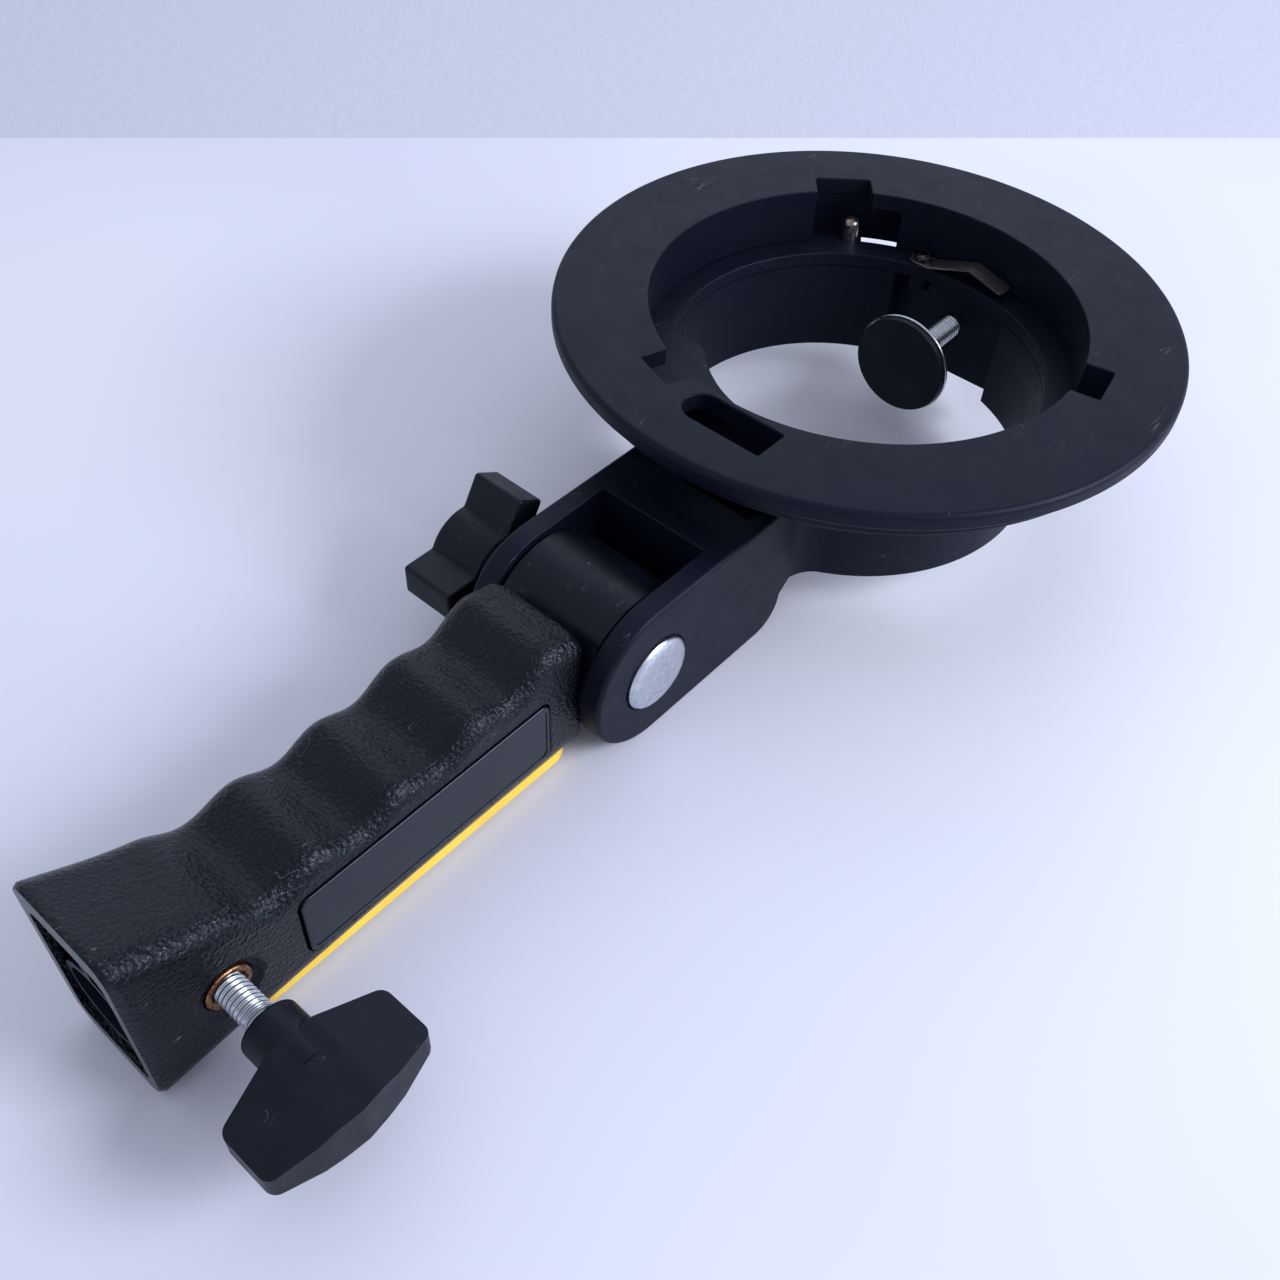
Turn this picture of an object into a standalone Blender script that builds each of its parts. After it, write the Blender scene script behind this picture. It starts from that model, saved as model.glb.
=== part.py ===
"""Flash mount bracket: a ring with a three-notch front, a pad clamp, a tilt joint and a finger-grooved grip.

The part lies on its back with the ring's front up. X is sideways, +Y runs from the grip to the ring and
Z is up. The origin is on the table, under the middle of the whole part.
"""
import math

import bmesh
import bpy
from mathutils import Matrix, Vector

MM = 0.001
GAP = 0.3 * MM
OVERRUN = 2.0 * MM
QUARTER = math.pi / 2.0

# Ring front
FLANGE_RADIUS = 72.0 * MM
FLANGE_WIDTH = 22.0 * MM
FLANGE_THICK = 4.0 * MM
FLANGE_TOP_EDGE = 1.4 * MM
FLANGE_LOW_EDGE = 0.7 * MM
SKIRT_WALL = 2.0 * MM
SHELF_DEPTH = 14.0 * MM
NOTCH_DEPTH = 6.4 * MM
NOTCH_WIDTH = 11.2 * MM
PIN_NOTCH_WIDTH = 14.0 * MM
NOTCH_ANGLES = [math.radians(angle) for angle in (131.0, 251.0, 11.0)]
LUG_SWEEP = math.radians(17.5)
REGISTER = 0.4 * MM
STOP_WALL = 2.6 * MM
RING_STEPS = 60

# Umbrella slot through the flange and the arm
UMBRELLA_SLOT_EDGE = 1.3 * MM
UMBRELLA_SLOT_WIDTH = 8.8 * MM
UMBRELLA_SLOT_LEFT = 2.8 * MM
UMBRELLA_SLOT_RIGHT = 15.0 * MM

# Backing ring: rim, housing and shelf
BAND_INSET = 3.5 * MM
BAND_THICK = 4.0 * MM
BAND_LIP = 2.0 * MM
BAND_SCOOP = 2.2 * MM
HOUSING_WALL = 2.0 * MM
SHELF_THICK = 3.3 * MM
SHELF_WIDTH = 6.0 * MM

# Bracket body: collar and saddle
COLLAR_WALL = 2.5 * MM
COLLAR_DEPTH = 41.8 * MM
SADDLE_RISE = 8.0 * MM
SADDLE_HALF_ANGLE = math.radians(48.0)
SADDLE_BLEND_ANGLE = math.radians(14.0)
SADDLE_WALL = 2.4 * MM
SADDLE_PAD_THICK = 1.2 * MM
SADDLE_PAD_HALF_ANGLE = math.radians(40.0)
SADDLE_PAD_HEIGHT = 20.0 * MM

# Arm and clevis
TILT_CLEARANCE = 21.1 * MM
CHEEK_RADIUS = 17.7 * MM
ARM_WIDTH = 37.8 * MM
CHEEK_WALL = 5.1 * MM
SLOT_CLEARANCE = 3.0 * MM
SLOT_WALL = 3.6 * MM
ARM_TOP_WALL = 3.6 * MM
ARM_SIDE_WALL = 5.1 * MM
ARM_FILLET = 9.0 * MM
ARM_FOOT_GAP = 7.0 * MM
ARM_TOE_RADIUS = 8.0 * MM
# How far the arm reaches into the collar: share of the saddle's radius
ARM_ROOT_SHARE = 0.75

# Screws that hold the backing ring on the body
RING_SCREW_RADIUS = 1.0 * MM
RING_SCREW_HEAD_RADIUS = 1.9 * MM
RING_SCREW_BITE = 6.0 * MM
RING_SCREW_SINK = 0.2 * MM
RING_SCREW_EDGE = 2.5 * MM
RING_SCREW_INSET = 3.5 * MM

# Flange screws
FLANGE_SCREW_ANGLES = [math.radians(angle) for angle in (32.0, 148.0, 212.0, 328.0)]
FLANGE_SCREW_RADIUS = 1.5 * MM
FLANGE_SCREW_HEAD_RADIUS = 2.8 * MM
FLANGE_SCREW_HEAD = 1.8 * MM
FLANGE_SCREW_BITE = 2.6 * MM

# Latch pin, its spring, tab and cover
LATCH_INSET = 2.2 * MM
LATCH_ANGLE = math.radians(127.5)
LATCH_PIN_RADIUS = 2.2 * MM
LATCH_PIN_RISE = 5.6 * MM
LATCH_TRAVEL = 5.8 * MM
LATCH_STEM_RADIUS = 1.5 * MM
LATCH_SHOULDER_RADIUS = 3.8 * MM
LATCH_SHOULDER = 1.8 * MM
LATCH_CHAMBER_RADIUS = 4.2 * MM
LATCH_BLOCK_LENGTH = 20.0 * MM
LATCH_BLOCK_WIDTH = 11.0 * MM
LATCH_BLOCK_DEPTH = 33.5 * MM
LATCH_COVER_THICK = 2.0 * MM
LATCH_BLOCK_SHIFT = 4.2 * MM
LATCH_COVER_SCREW_OFFSET = 10.6 * MM
LATCH_COVER_SCREW_SPREAD = 2.9 * MM
LATCH_COVER_SCREW_RADIUS = 1.05 * MM
LATCH_COVER_SCREW_HEAD_RADIUS = 1.9 * MM
LATCH_COVER_SCREW_HEAD = 1.2 * MM
LATCH_COVER_SCREW_BITE = 4.0 * MM
LATCH_BLOCK_CORNER_SHARE = 0.6
# The pin's dome: its height, where its slope breaks and how far it has dropped there
LATCH_DOME_SHARE = 0.5
LATCH_DOME_FLAT_SHARE = 0.7
LATCH_DOME_DROP_SHARE = 0.3
LATCH_SPRING_WIRE = 0.6 * MM
LATCH_SPRING_TURNS = 6
LATCH_TAB_THICK = 2.2 * MM
LATCH_TAB_WIDTH = 10.0 * MM
LATCH_TAB_REACH = 13.0 * MM
LATCH_TAB_INSET = 3.5 * MM
LATCH_TAB_LIP = 3.2 * MM
LATCH_STEM_TAIL = 1.0 * MM

# Leaf spring on the shelf
LEAF_SCREW_X = -11.4 * MM
LEAF_INSET = 4.6 * MM
LEAF_WIDTH = 5.0 * MM
LEAF_THICK = 0.5 * MM
LEAF_HEEL = 3.0 * MM
LEAF_FOOT = 3.0 * MM
LEAF_APEX = 14.4 * MM
LEAF_TIP = 24.4 * MM
LEAF_APEX_RISE = 4.2 * MM
LEAF_TIP_RISE = 1.7 * MM
LEAF_TIP_ROUND = 1.3 * MM
LEAF_SCREW_RADIUS = 1.1 * MM
LEAF_SCREW_HEAD_RADIUS = 2.2 * MM
LEAF_SCREW_HEAD = 1.4 * MM
LEAF_BOSS_RADIUS = 2.9 * MM
LEAF_BOSS_DEPTH = 4.0 * MM

# Pad clamp through the collar's flat wall
CLAMP_DEPTH = 28.6 * MM
CLAMP_FLAT_STEP = 2.0 * MM
CLAMP_BLOCK_SHARE = 0.864
CLAMP_SIDE_WALL = 3.0 * MM
CLAMP_BLOCK_WALL = 6.0 * MM
CLAMP_PAD_FACE = 1.3 * MM
CLAMP_PAD_FACE_RADIUS = 12.4 * MM
CLAMP_PLATE = 1.2 * MM
CLAMP_PLATE_RADIUS = 12.9 * MM
CLAMP_CUP_RADIUS = 4.8 * MM
CLAMP_CUP = 3.0 * MM
CLAMP_NUT_FLATS = 10.0 * MM
CLAMP_NUT_THICK = 4.5 * MM
CLAMP_REACH_IN = 8.0 * MM

# M6 rods and the two T-shaped knobs
ROD_RADIUS = 3.0 * MM
ROD_PITCH = 1.0 * MM
ROD_THREAD_DEPTH = 0.4 * MM
KNOB_HUB_RADIUS = 5.6 * MM
KNOB_HUB = 9.0 * MM
KNOB_DEPTH = 24.5 * MM
KNOB_HALF_SPAN = 16.6 * MM
KNOB_MID_HALF = 5.3 * MM
KNOB_TIP_HALF = 2.4 * MM
KNOB_TIP_START = 10.0 * MM
KNOB_TIP_END = 21.6 * MM
KNOB_WING_START = 6.5 * MM
KNOB_EDGE = 0.7 * MM
KNOB_ROOT_SHARE = 0.8
# Bends of the wing's outline: shares of its half span and of its heights there
KNOB_LOW_BEND_SHARES = (0.62, 0.82)
KNOB_HIGH_BEND_SHARES = (0.5, 0.965)
KNOB_BORE_DEPTH = 14.0 * MM

# Tilt joint
BOLT_RADIUS = 4.0 * MM
BOLT_HEAD_RADIUS = 8.6 * MM
BOLT_HEAD = 2.2 * MM
BOLT_HEAD_SINK = 0.9 * MM
BOLT_NECK = 3.0 * MM
# The head's dome from the middle out: share of its radius, share of its height below the crown
BOLT_DOME_SHARES = [(0.0, 0.0), (0.55, 0.06), (0.9, 0.25), (1.0, 0.5)]
BOLT_NECK_OVERLAP_SHARE = 0.3
DRUM_RADIUS = 16.6 * MM
FRICTION_WASHER_RADIUS = 14.0 * MM
FRICTION_WASHER_THICK = 0.8 * MM
KNOB_WASHER_RADIUS = 8.6 * MM
KNOB_WASHER_THICK = 1.5 * MM
TILT_KNOB_COLLAR = 3.4 * MM
TILT_KNOB_COLLAR_RADIUS = 9.0 * MM
TILT_KNOB_LENGTH = 14.0 * MM
TILT_KNOB_HUB_RADIUS = 9.6 * MM
TILT_KNOB_LOBE_RADIUS = 17.0 * MM
TILT_KNOB_LOBE_HALF = 3.8 * MM
TILT_KNOB_LOBE_ANGLES = [math.radians(angle) for angle in (60.0, 180.0, 300.0)]
TILT_KNOB_EDGE = 0.6 * MM
TILT_NUT_FLATS = 12.5 * MM
TILT_NUT_THICK = 6.5 * MM
BOLT_TAIL = 2.5 * MM

# Grip shell
GRIP_START = 15.4 * MM
GRIP_LENGTH = 103.0 * MM
GRIP_HALF_WIDTH = 13.0 * MM
GRIP_BACK = 15.7 * MM
GRIP_FRONT = 19.3 * MM
GRIP_END_FRONT = 27.3 * MM
GRIP_END_BACK = 16.9 * MM
GRIP_FRONT_CORNER = 4.5 * MM
GRIP_BACK_CORNER = 8.0 * MM
GRIP_END_CORNER = 5.5 * MM
GRIP_WALL = 3.0 * MM
GRIP_BACK_WALL = 4.4 * MM
GRIP_END_EDGE = 1.2 * MM
FINGER_PITCH = 19.0 * MM
FINGER_FIRST = 17.5 * MM
FINGER_COUNT = 4
FINGER_DEPTH = 3.2 * MM
# How the finger side's flare rises to the open end: a power of its cosine curve
FLARE_POWER = 0.85
# Height of the finger side without its grooves: share of the length, share of GRIP_FRONT
FRONT_SHARES = [(0.0, 0.93), (0.08, 1.0), (0.27, 0.85), (0.45, 0.76), (0.63, 0.78), (0.74, 0.84)]

# Tang and its screws
TANG_WIDTH = 18.0 * MM
TANG_FRONT = 7.6 * MM
TANG_CHAMFER_SHARE = 0.6
TANG_CLEARANCE = 17.4 * MM
# Places along the tang inside the grip, as shares of its length there
GRIP_SCREW_SHARES = [0.2, 0.67]
GRIP_SCREW_RADIUS = 1.5 * MM
GRIP_SCREW_HEAD_RADIUS = 2.7 * MM
GRIP_SCREW_HEAD = 1.0 * MM
GRIP_SCREW_BITE = 6.0 * MM

# Label plate and back strip
LABEL_START = 10.0 * MM
LABEL_END_GAP = 32.5 * MM
LABEL_HEIGHT = 16.0 * MM
LABEL_DROP = 0.3 * MM
LABEL_CORNER = 2.2 * MM
LABEL_SINK = 1.3 * MM
LABEL_PROUD = 0.3 * MM
STRIP_START = 2.6 * MM
STRIP_END_GAP = 22.9 * MM
STRIP_HALF_WIDTH = 10.5 * MM
STRIP_CORNER_SHARE = 0.9
STRIP_SINK = 2.2 * MM
STRIP_PROUD = 0.9 * MM

# Stand socket and its lock
SOCKET_RADIUS = 8.2 * MM
SOCKET_WALL = 1.5 * MM
SOCKET_DEPTH = 40.0 * MM
SOCKET_FLOOR = 2.0 * MM
SOCKET_INSET = 1.0 * MM
SOCKET_RIB = 2.0 * MM
LOCK_FROM_END = 16.9 * MM
LOCK_EXPOSED = 9.5 * MM
LOCK_INSERT_RADIUS = 4.6 * MM
LOCK_INSERT_SINK = 0.4 * MM
LOCK_DIMPLE_RADIUS = 6.6 * MM
LOCK_DIMPLE = 0.5 * MM
LOCK_TIP_THICK = 1.0 * MM
LOCK_TIP_RADIUS = 2.4 * MM

# Screw heads and their drive recess
SCREW_DOME_SHARE = 0.6
CROSS_WIDTH = 0.6 * MM
CROSS_DEPTH_SHARE = 0.55
CROSS_LENGTH_SHARE = 1.2

# Sizes and places worked out from those above, in the ring's frame: Z down from the flange's face
BORE_RADIUS = FLANGE_RADIUS - FLANGE_WIDTH
BAND_RADIUS = FLANGE_RADIUS - BAND_INSET
COLLAR_RADIUS = BORE_RADIUS - SHELF_WIDTH
SADDLE_RADIUS = COLLAR_RADIUS - SADDLE_RISE
UMBRELLA_SLOT_START = BORE_RADIUS + UMBRELLA_SLOT_EDGE
TILT_REACH = FLANGE_RADIUS + TILT_CLEARANCE
SLOT_START = TILT_REACH - DRUM_RADIUS - SLOT_CLEARANCE
ARM_FLAT_END = BORE_RADIUS + ARM_FOOT_GAP
LATCH_RADIUS = BORE_RADIUS + LATCH_INSET
LEAF_Y = BORE_RADIUS - LEAF_INSET
CLAMP_FLAT = COLLAR_RADIUS + CLAMP_FLAT_STEP
CLAMP_OUTER = CLAMP_FLAT + CLAMP_BLOCK_WALL
CLAMP_BLOCK_WIDTH = COLLAR_RADIUS * CLAMP_BLOCK_SHARE
CLAMP_RECESS_WIDTH = CLAMP_BLOCK_WIDTH - 2.0 * CLAMP_SIDE_WALL
CLAMP_PAD_PLACE = COLLAR_RADIUS / 2.0
CLAMP_KNOB_START = CLAMP_OUTER + CLAMP_REACH_IN + 2.0 * GAP
FRONT_END = CLAMP_KNOB_START + KNOB_DEPTH
GRIP_END = GRIP_START + GRIP_LENGTH
TANG_END = GRIP_END - SOCKET_INSET - SOCKET_DEPTH - SOCKET_FLOOR - TANG_CLEARANCE
GRIP_SCREW_PLACES = [GRIP_START + (TANG_END - GRIP_START) * share for share in GRIP_SCREW_SHARES]
LABEL_LENGTH = GRIP_LENGTH - LABEL_START - LABEL_END_GAP
STRIP_LENGTH = GRIP_LENGTH - STRIP_START - STRIP_END_GAP
RING_Y = (TILT_REACH + GRIP_END - FRONT_END) / 2.0
SHELF_TOP = -SHELF_DEPTH
SHELF_BOTTOM = SHELF_TOP - SHELF_THICK
BODY_TOP = SHELF_BOTTOM - GAP
TILT_DEPTH = CHEEK_RADIUS - BODY_TOP
FACE_HEIGHT = TILT_DEPTH + CHEEK_RADIUS
SKIRT_RADIUS = BORE_RADIUS + SKIRT_WALL
POCKET_RADIUS = BORE_RADIUS + NOTCH_DEPTH
HOUSING_RADIUS = POCKET_RADIUS + GAP
HOUSING_OUTER = HOUSING_RADIUS + HOUSING_WALL
BAND_TOP = -(FLANGE_THICK + GAP)
BAND_BOTTOM = BAND_TOP - BAND_THICK
COLLAR_OUTER = COLLAR_RADIUS + COLLAR_WALL
COLLAR_BOTTOM = -COLLAR_DEPTH
CHEEK_INNER = ARM_WIDTH / 2.0 - CHEEK_WALL
CHEEK_OUTER = ARM_WIDTH / 2.0
KNUCKLE_HALF = CHEEK_INNER - GAP


def collection(name):
    """Make a collection in the scene."""
    made = bpy.data.collections.new(name)
    bpy.context.scene.collection.children.link(made)
    return made


def material(name, colour, roughness, metallic=0.0):
    """Make a plain surface of one colour."""
    made = bpy.data.materials.new(name)
    made.use_nodes = True
    surface = made.node_tree.nodes["Principled BSDF"]
    surface.inputs["Base Color"].default_value = (*colour, 1.0)
    surface.inputs["Roughness"].default_value = roughness
    surface.inputs["Metallic"].default_value = metallic
    made.diffuse_color = (*colour, 1.0)
    return made


for old in list(bpy.data.objects):
    bpy.data.objects.remove(old)
PARTS = collection("flash_mount_bracket")
CUTTERS = collection("cutters")

BLACK_PLASTIC = material("black_plastic", (0.020, 0.020, 0.023), 0.55)
GRAINED_PLASTIC = material("grained_plastic", (0.012, 0.012, 0.014), 0.35)
KNOB_PLASTIC = material("knob_plastic", (0.022, 0.022, 0.026), 0.5)
GLOSS_BLACK = material("gloss_black", (0.010, 0.010, 0.012), 0.12)
YELLOW_PLASTIC = material("yellow_plastic", (0.85, 0.62, 0.05), 0.4)
ZINC = material("zinc", (0.72, 0.74, 0.76), 0.3, 1.0)
STEEL = material("steel", (0.55, 0.55, 0.56), 0.35, 1.0)
BRASS = material("brass", (0.72, 0.45, 0.22), 0.35, 1.0)
RUBBER = material("rubber", (0.016, 0.016, 0.018), 0.8)


def frame(name, place, turn=None, parent=None):
    """Make an empty that pieces stand on: a joint's axis or a fixed place."""
    empty = bpy.data.objects.new(name, None)
    empty.empty_display_size = 10.0 * MM
    empty.location = place
    if turn:
        empty.rotation_euler = turn
    empty.parent = parent
    PARTS.objects.link(empty)
    return empty


def finished(bm, name):
    """Turn a bmesh into a mesh with welded points and outward faces."""
    bmesh.ops.remove_doubles(bm, verts=bm.verts, dist=0.001 * MM)
    bmesh.ops.recalc_face_normals(bm, faces=bm.faces)
    mesh = bpy.data.meshes.new(name)
    bm.to_mesh(mesh)
    bm.free()
    return mesh


def box(low, high):
    """A block between two corners."""
    bm = bmesh.new()
    bmesh.ops.create_cube(bm, size=1.0)
    low, high = Vector(low), Vector(high)
    size = Matrix.Diagonal((*(high - low), 1.0))
    bmesh.ops.transform(bm, matrix=Matrix.Translation((low + high) / 2.0) @ size, verts=bm.verts)
    return finished(bm, "box")


def cylinder(radius, low, high, steps=32):
    """A round bar along Z between two heights."""
    bm = bmesh.new()
    bmesh.ops.create_cone(bm, cap_ends=True, segments=steps, radius1=radius, radius2=radius, depth=high - low)
    bmesh.ops.translate(bm, vec=(0.0, 0.0, (high + low) / 2.0), verts=bm.verts)
    return finished(bm, "cylinder")


def evaluated(source):
    """Turn a source object with modifiers, or a curve, into a plain mesh and drop the source."""
    bpy.context.scene.collection.objects.link(source)
    graph = bpy.context.evaluated_depsgraph_get()
    bm = bmesh.new()
    mesh = bpy.data.meshes.new_from_object(source.evaluated_get(graph))
    bm.from_mesh(mesh)
    bpy.data.objects.remove(source)
    return finished(bm, "shape")


def turned(profile, steps=32, closed=False):
    """Spin a profile of (radius, height) points round Z with a Screw modifier."""
    mesh = bpy.data.meshes.new("profile")
    edges = [(index, index + 1) for index in range(len(profile) - 1)]
    if closed:
        edges.append((len(profile) - 1, 0))
    mesh.from_pydata([(radius, 0.0, height) for radius, height in profile], edges, [])
    source = bpy.data.objects.new("profile", mesh)
    spin = source.modifiers.new("spin", "SCREW")
    spin.steps = spin.render_steps = steps
    spin.use_merge_vertices = True
    spin.merge_threshold = 0.001 * MM
    return evaluated(source)


def extruded(outlines, low, high):
    """Extrude flat outlines, the first with any others as holes in it, between two heights."""
    curve = bpy.data.curves.new("outline", "CURVE")
    curve.dimensions = "2D"
    curve.fill_mode = "BOTH"
    curve.extrude = (high - low) / 2.0
    for outline in outlines:
        spline = curve.splines.new("POLY")
        spline.points.add(len(outline) - 1)
        for point, (x, y) in zip(spline.points, outline):
            point.co = (x, y, 0.0, 1.0)
        spline.use_cyclic_u = True
    mesh = evaluated(bpy.data.objects.new("outline", curve))
    mesh.transform(Matrix.Translation((0.0, 0.0, (high + low) / 2.0)))
    return mesh


def moved(mesh, place=(0.0, 0.0, 0.0), turn=None):
    """Move and turn a mesh's points."""
    matrix = Matrix.Translation(place)
    if turn is not None:
        matrix = matrix @ turn
    mesh.transform(matrix)
    return mesh


def spin_z(angle):
    """A turn about Z."""
    return Matrix.Rotation(angle, 4, "Z")


# A turn that sends a mesh's X to +Y, its Y to +Z and its Z to +X
YZ_TO_X = Matrix(((0.0, 0.0, 1.0, 0.0), (1.0, 0.0, 0.0, 0.0), (0.0, 1.0, 0.0, 0.0), (0.0, 0.0, 0.0, 1.0)))


def arc(centre, radius, start, end, steps):
    """Points along an arc, both ends included."""
    points = []
    for step in range(steps + 1):
        angle = start + (end - start) * step / steps
        points.append((centre[0] + radius * math.cos(angle), centre[1] + radius * math.sin(angle)))
    return points


def sector(inner, outer, start, end):
    """The outline of a piece of a ring."""
    middle = (0.0, 0.0)
    steps = max(2, round(RING_STEPS * (end - start) / (2.0 * math.pi)))
    return arc(middle, inner, start, end, steps) + arc(middle, outer, end, start, steps)


def rounded_rectangle(half_x, half_y, radius, steps=4):
    """A rectangle about the origin with round corners."""
    points = []
    for index, (sign_x, sign_y) in enumerate(((1, 1), (-1, 1), (-1, -1), (1, -1))):
        centre = (sign_x * (half_x - radius), sign_y * (half_y - radius))
        points += arc(centre, radius, index * QUARTER, (index + 1) * QUARTER, steps)
    return points


def hexagon(flats):
    """A hexagon about the origin with its flats this far apart."""
    corner = flats / math.sqrt(3.0)
    angles = [index * math.pi / 3.0 for index in range(6)]
    return [(corner * math.cos(angle), corner * math.sin(angle)) for angle in angles]


def shade(obj):
    """Shade round faces smooth and keep real edges sharp."""
    obj.data.shade_smooth()
    obj.data.set_sharp_from_angle(angle=math.radians(35.0))


def piece(name, mesh, surface, parent):
    """Place a finished mesh as a named part on its frame."""
    obj = bpy.data.objects.new(name, mesh)
    mesh.name = name
    mesh.materials.clear()
    mesh.materials.append(surface)
    obj.parent = parent
    PARTS.objects.link(obj)
    shade(obj)
    return obj


def helper(mesh, parent):
    """Place a mesh as a cutter or as something to join on."""
    obj = bpy.data.objects.new("cutter", mesh)
    obj.parent = parent
    obj.hide_render = True
    obj.display_type = "WIRE"
    CUTTERS.objects.link(obj)
    return obj


def combine(target, mesh, operation, parent=None):
    """Add a Boolean to a part. The helper shares the part's frame unless told otherwise."""
    tool = helper(mesh, parent or target.parent)
    step = target.modifiers.new(operation.lower(), "BOOLEAN")
    step.operation = operation
    step.object = tool
    step.solver = "EXACT"
    return tool


def cut(target, mesh, parent=None):
    """Cut a mesh out of a part."""
    return combine(target, mesh, "DIFFERENCE", parent)


def join(target, mesh, parent=None):
    """Join a mesh onto a part."""
    return combine(target, mesh, "UNION", parent)


def soften(target, width, steps=1):
    """Round a part's edges."""
    bevel = target.modifiers.new("soften", "BEVEL")
    bevel.width = width
    bevel.segments = steps
    bevel.limit_method = "ANGLE"
    bevel.angle_limit = math.radians(40.0)
    bevel.use_clamp_overlap = True
    bevel.harden_normals = False


def threaded(low, high, thread_low, thread_high, radius=ROD_RADIUS, steps=12):
    """A rod along Z whose threaded stretch has one ridge for each turn."""
    root = radius - ROD_THREAD_DEPTH
    turns = max(1, int((thread_high - thread_low) / ROD_PITCH))
    profile = [(0.0, high), (root, high)]
    for turn in range(turns):
        top = thread_high - turn * ROD_PITCH
        profile += [(root, top), (radius, top - ROD_PITCH / 2.0)]
    profile += [(root, thread_high - turns * ROD_PITCH), (root, low), (0.0, low)]
    return turned(profile, steps)


def cross_recess(made, head_radius, top, depth, place, turn=None):
    """Sink a cross into a screw's head."""
    half = CROSS_WIDTH / 2.0
    reach = head_radius * CROSS_LENGTH_SHARE / 2.0
    for across, along in ((half, reach), (reach, half)):
        slot = box((-across, -along, top - depth), (across, along, top + OVERRUN))
        cut(made, moved(slot, place, turn))


def screw(name, surface, parent, place, head_radius, head, radius, length, turn=None):
    """A round-headed screw. Its head's underside is at the place, and its shank points down."""
    dome = SCREW_DOME_SHARE
    profile = [(0.0, head), (head_radius * dome, head), (head_radius, head * dome), (head_radius, 0.0)]
    profile += [(radius, 0.0), (radius, -(length - radius)), (0.0, -length)]
    made = piece(name, moved(turned(profile, 12), place, turn), surface, parent)
    cross_recess(made, head_radius, head, head * CROSS_DEPTH_SHARE, place, turn)
    return made


def around(radius, angle, height=0.0):
    """A place on a circle about the ring's axis."""
    return Vector((radius * math.cos(angle), radius * math.sin(angle), height))


# Frames
ring = frame("ring_frame", (0.0, RING_Y, FACE_HEIGHT))
tilt = frame("tilt_axis", (0.0, RING_Y - TILT_REACH, FACE_HEIGHT - TILT_DEPTH))
latch_place = around(LATCH_RADIUS, LATCH_ANGLE, SHELF_TOP)
latch = frame("latch_axis", latch_place, (0.0, 0.0, LATCH_ANGLE), ring)
leaf = frame("leaf_axis", (LEAF_SCREW_X, LEAF_Y, SHELF_TOP + GAP), None, ring)
clamp = frame("clamp_axis", (0.0, 0.0, -CLAMP_DEPTH), (-QUARTER, 0.0, 0.0), ring)
bolt = frame("bolt_axis", (0.0, 0.0, 0.0), (0.0, QUARTER, 0.0), tilt)
knob_side = frame("tilt_knob_axis", (0.0, 0.0, 0.0), (0.0, -QUARTER, 0.0), tilt)
lock = frame("lock_axis", (0.0, LOCK_FROM_END - GRIP_END, 0.0), (0.0, QUARTER, 0.0), tilt)


def umbrella_outline():
    """The slot's outline: a round end on the left and square corners on the right."""
    half = UMBRELLA_SLOT_WIDTH / 2.0
    middle = -(UMBRELLA_SLOT_START + half)
    points = arc((-UMBRELLA_SLOT_LEFT, middle), half, QUARTER, 3.0 * QUARTER, 8)
    return points + [(UMBRELLA_SLOT_RIGHT, middle - half), (UMBRELLA_SLOT_RIGHT, middle + half)]


def notch_box(index, low, high):
    """The block that one bayonet notch takes out, widest for the notch with the latch pin."""
    width = PIN_NOTCH_WIDTH if index == 0 else NOTCH_WIDTH
    block = box((BORE_RADIUS - 2.0 * OVERRUN, -width / 2.0, low), (POCKET_RADIUS, width / 2.0, high))
    return moved(block, turn=spin_z(NOTCH_ANGLES[index]))


def notch_half_angle(index):
    """Half of the angle that a notch spans at its outer wall."""
    width = PIN_NOTCH_WIDTH if index == 0 else NOTCH_WIDTH
    return math.atan2(width / 2.0, POCKET_RADIUS)


def front_flange():
    """Flat ring with a rounded rim, a skirt down to the shelf, notches and the lugs' end stops."""
    skirt_end = SHELF_TOP + GAP
    rim = arc((FLANGE_RADIUS - FLANGE_TOP_EDGE, -FLANGE_TOP_EDGE), FLANGE_TOP_EDGE, QUARTER, 0.0, 3)
    low_middle = (FLANGE_RADIUS - FLANGE_LOW_EDGE, FLANGE_LOW_EDGE - FLANGE_THICK)
    low_rim = arc(low_middle, FLANGE_LOW_EDGE, 0.0, -QUARTER, 2)
    profile = [(BORE_RADIUS, 0.0)] + rim + low_rim
    profile += [(POCKET_RADIUS, -FLANGE_THICK), (POCKET_RADIUS, skirt_end), (BORE_RADIUS, skirt_end)]
    made = piece("front_flange", turned(profile, RING_STEPS, closed=True), BLACK_PLASTIC, ring)
    stop_angle = STOP_WALL / POCKET_RADIUS
    apart = 2.0 * math.pi / len(NOTCH_ANGLES)
    low = skirt_end - OVERRUN
    high = -(FLANGE_THICK + REGISTER)
    for index, angle in enumerate(NOTCH_ANGLES):
        after_stop = angle + notch_half_angle(index) + stop_angle
        before_stop = angle + apart - LUG_SWEEP - stop_angle
        outside = sector(SKIRT_RADIUS, POCKET_RADIUS + OVERRUN, after_stop, before_stop)
        cut(made, extruded([outside], low, high))
        pocket = sector(BORE_RADIUS - OVERRUN, POCKET_RADIUS + OVERRUN, angle - LUG_SWEEP, angle)
        cut(made, extruded([pocket], low, high))
        cut(made, notch_box(index, low, OVERRUN))
    cut(made, extruded([umbrella_outline()], SHELF_TOP - OVERRUN, OVERRUN))
    for angle in FLANGE_SCREW_ANGLES:
        hole = cylinder(FLANGE_SCREW_RADIUS + GAP / 2.0, -FLANGE_THICK - OVERRUN, screw_tip() + GAP, 12)
        cut(made, moved(hole, around(screw_circle(), angle)))
    return made


def screw_circle():
    """The flange screws sit midway across the backing rim."""
    return (HOUSING_OUTER + BAND_RADIUS) / 2.0


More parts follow.
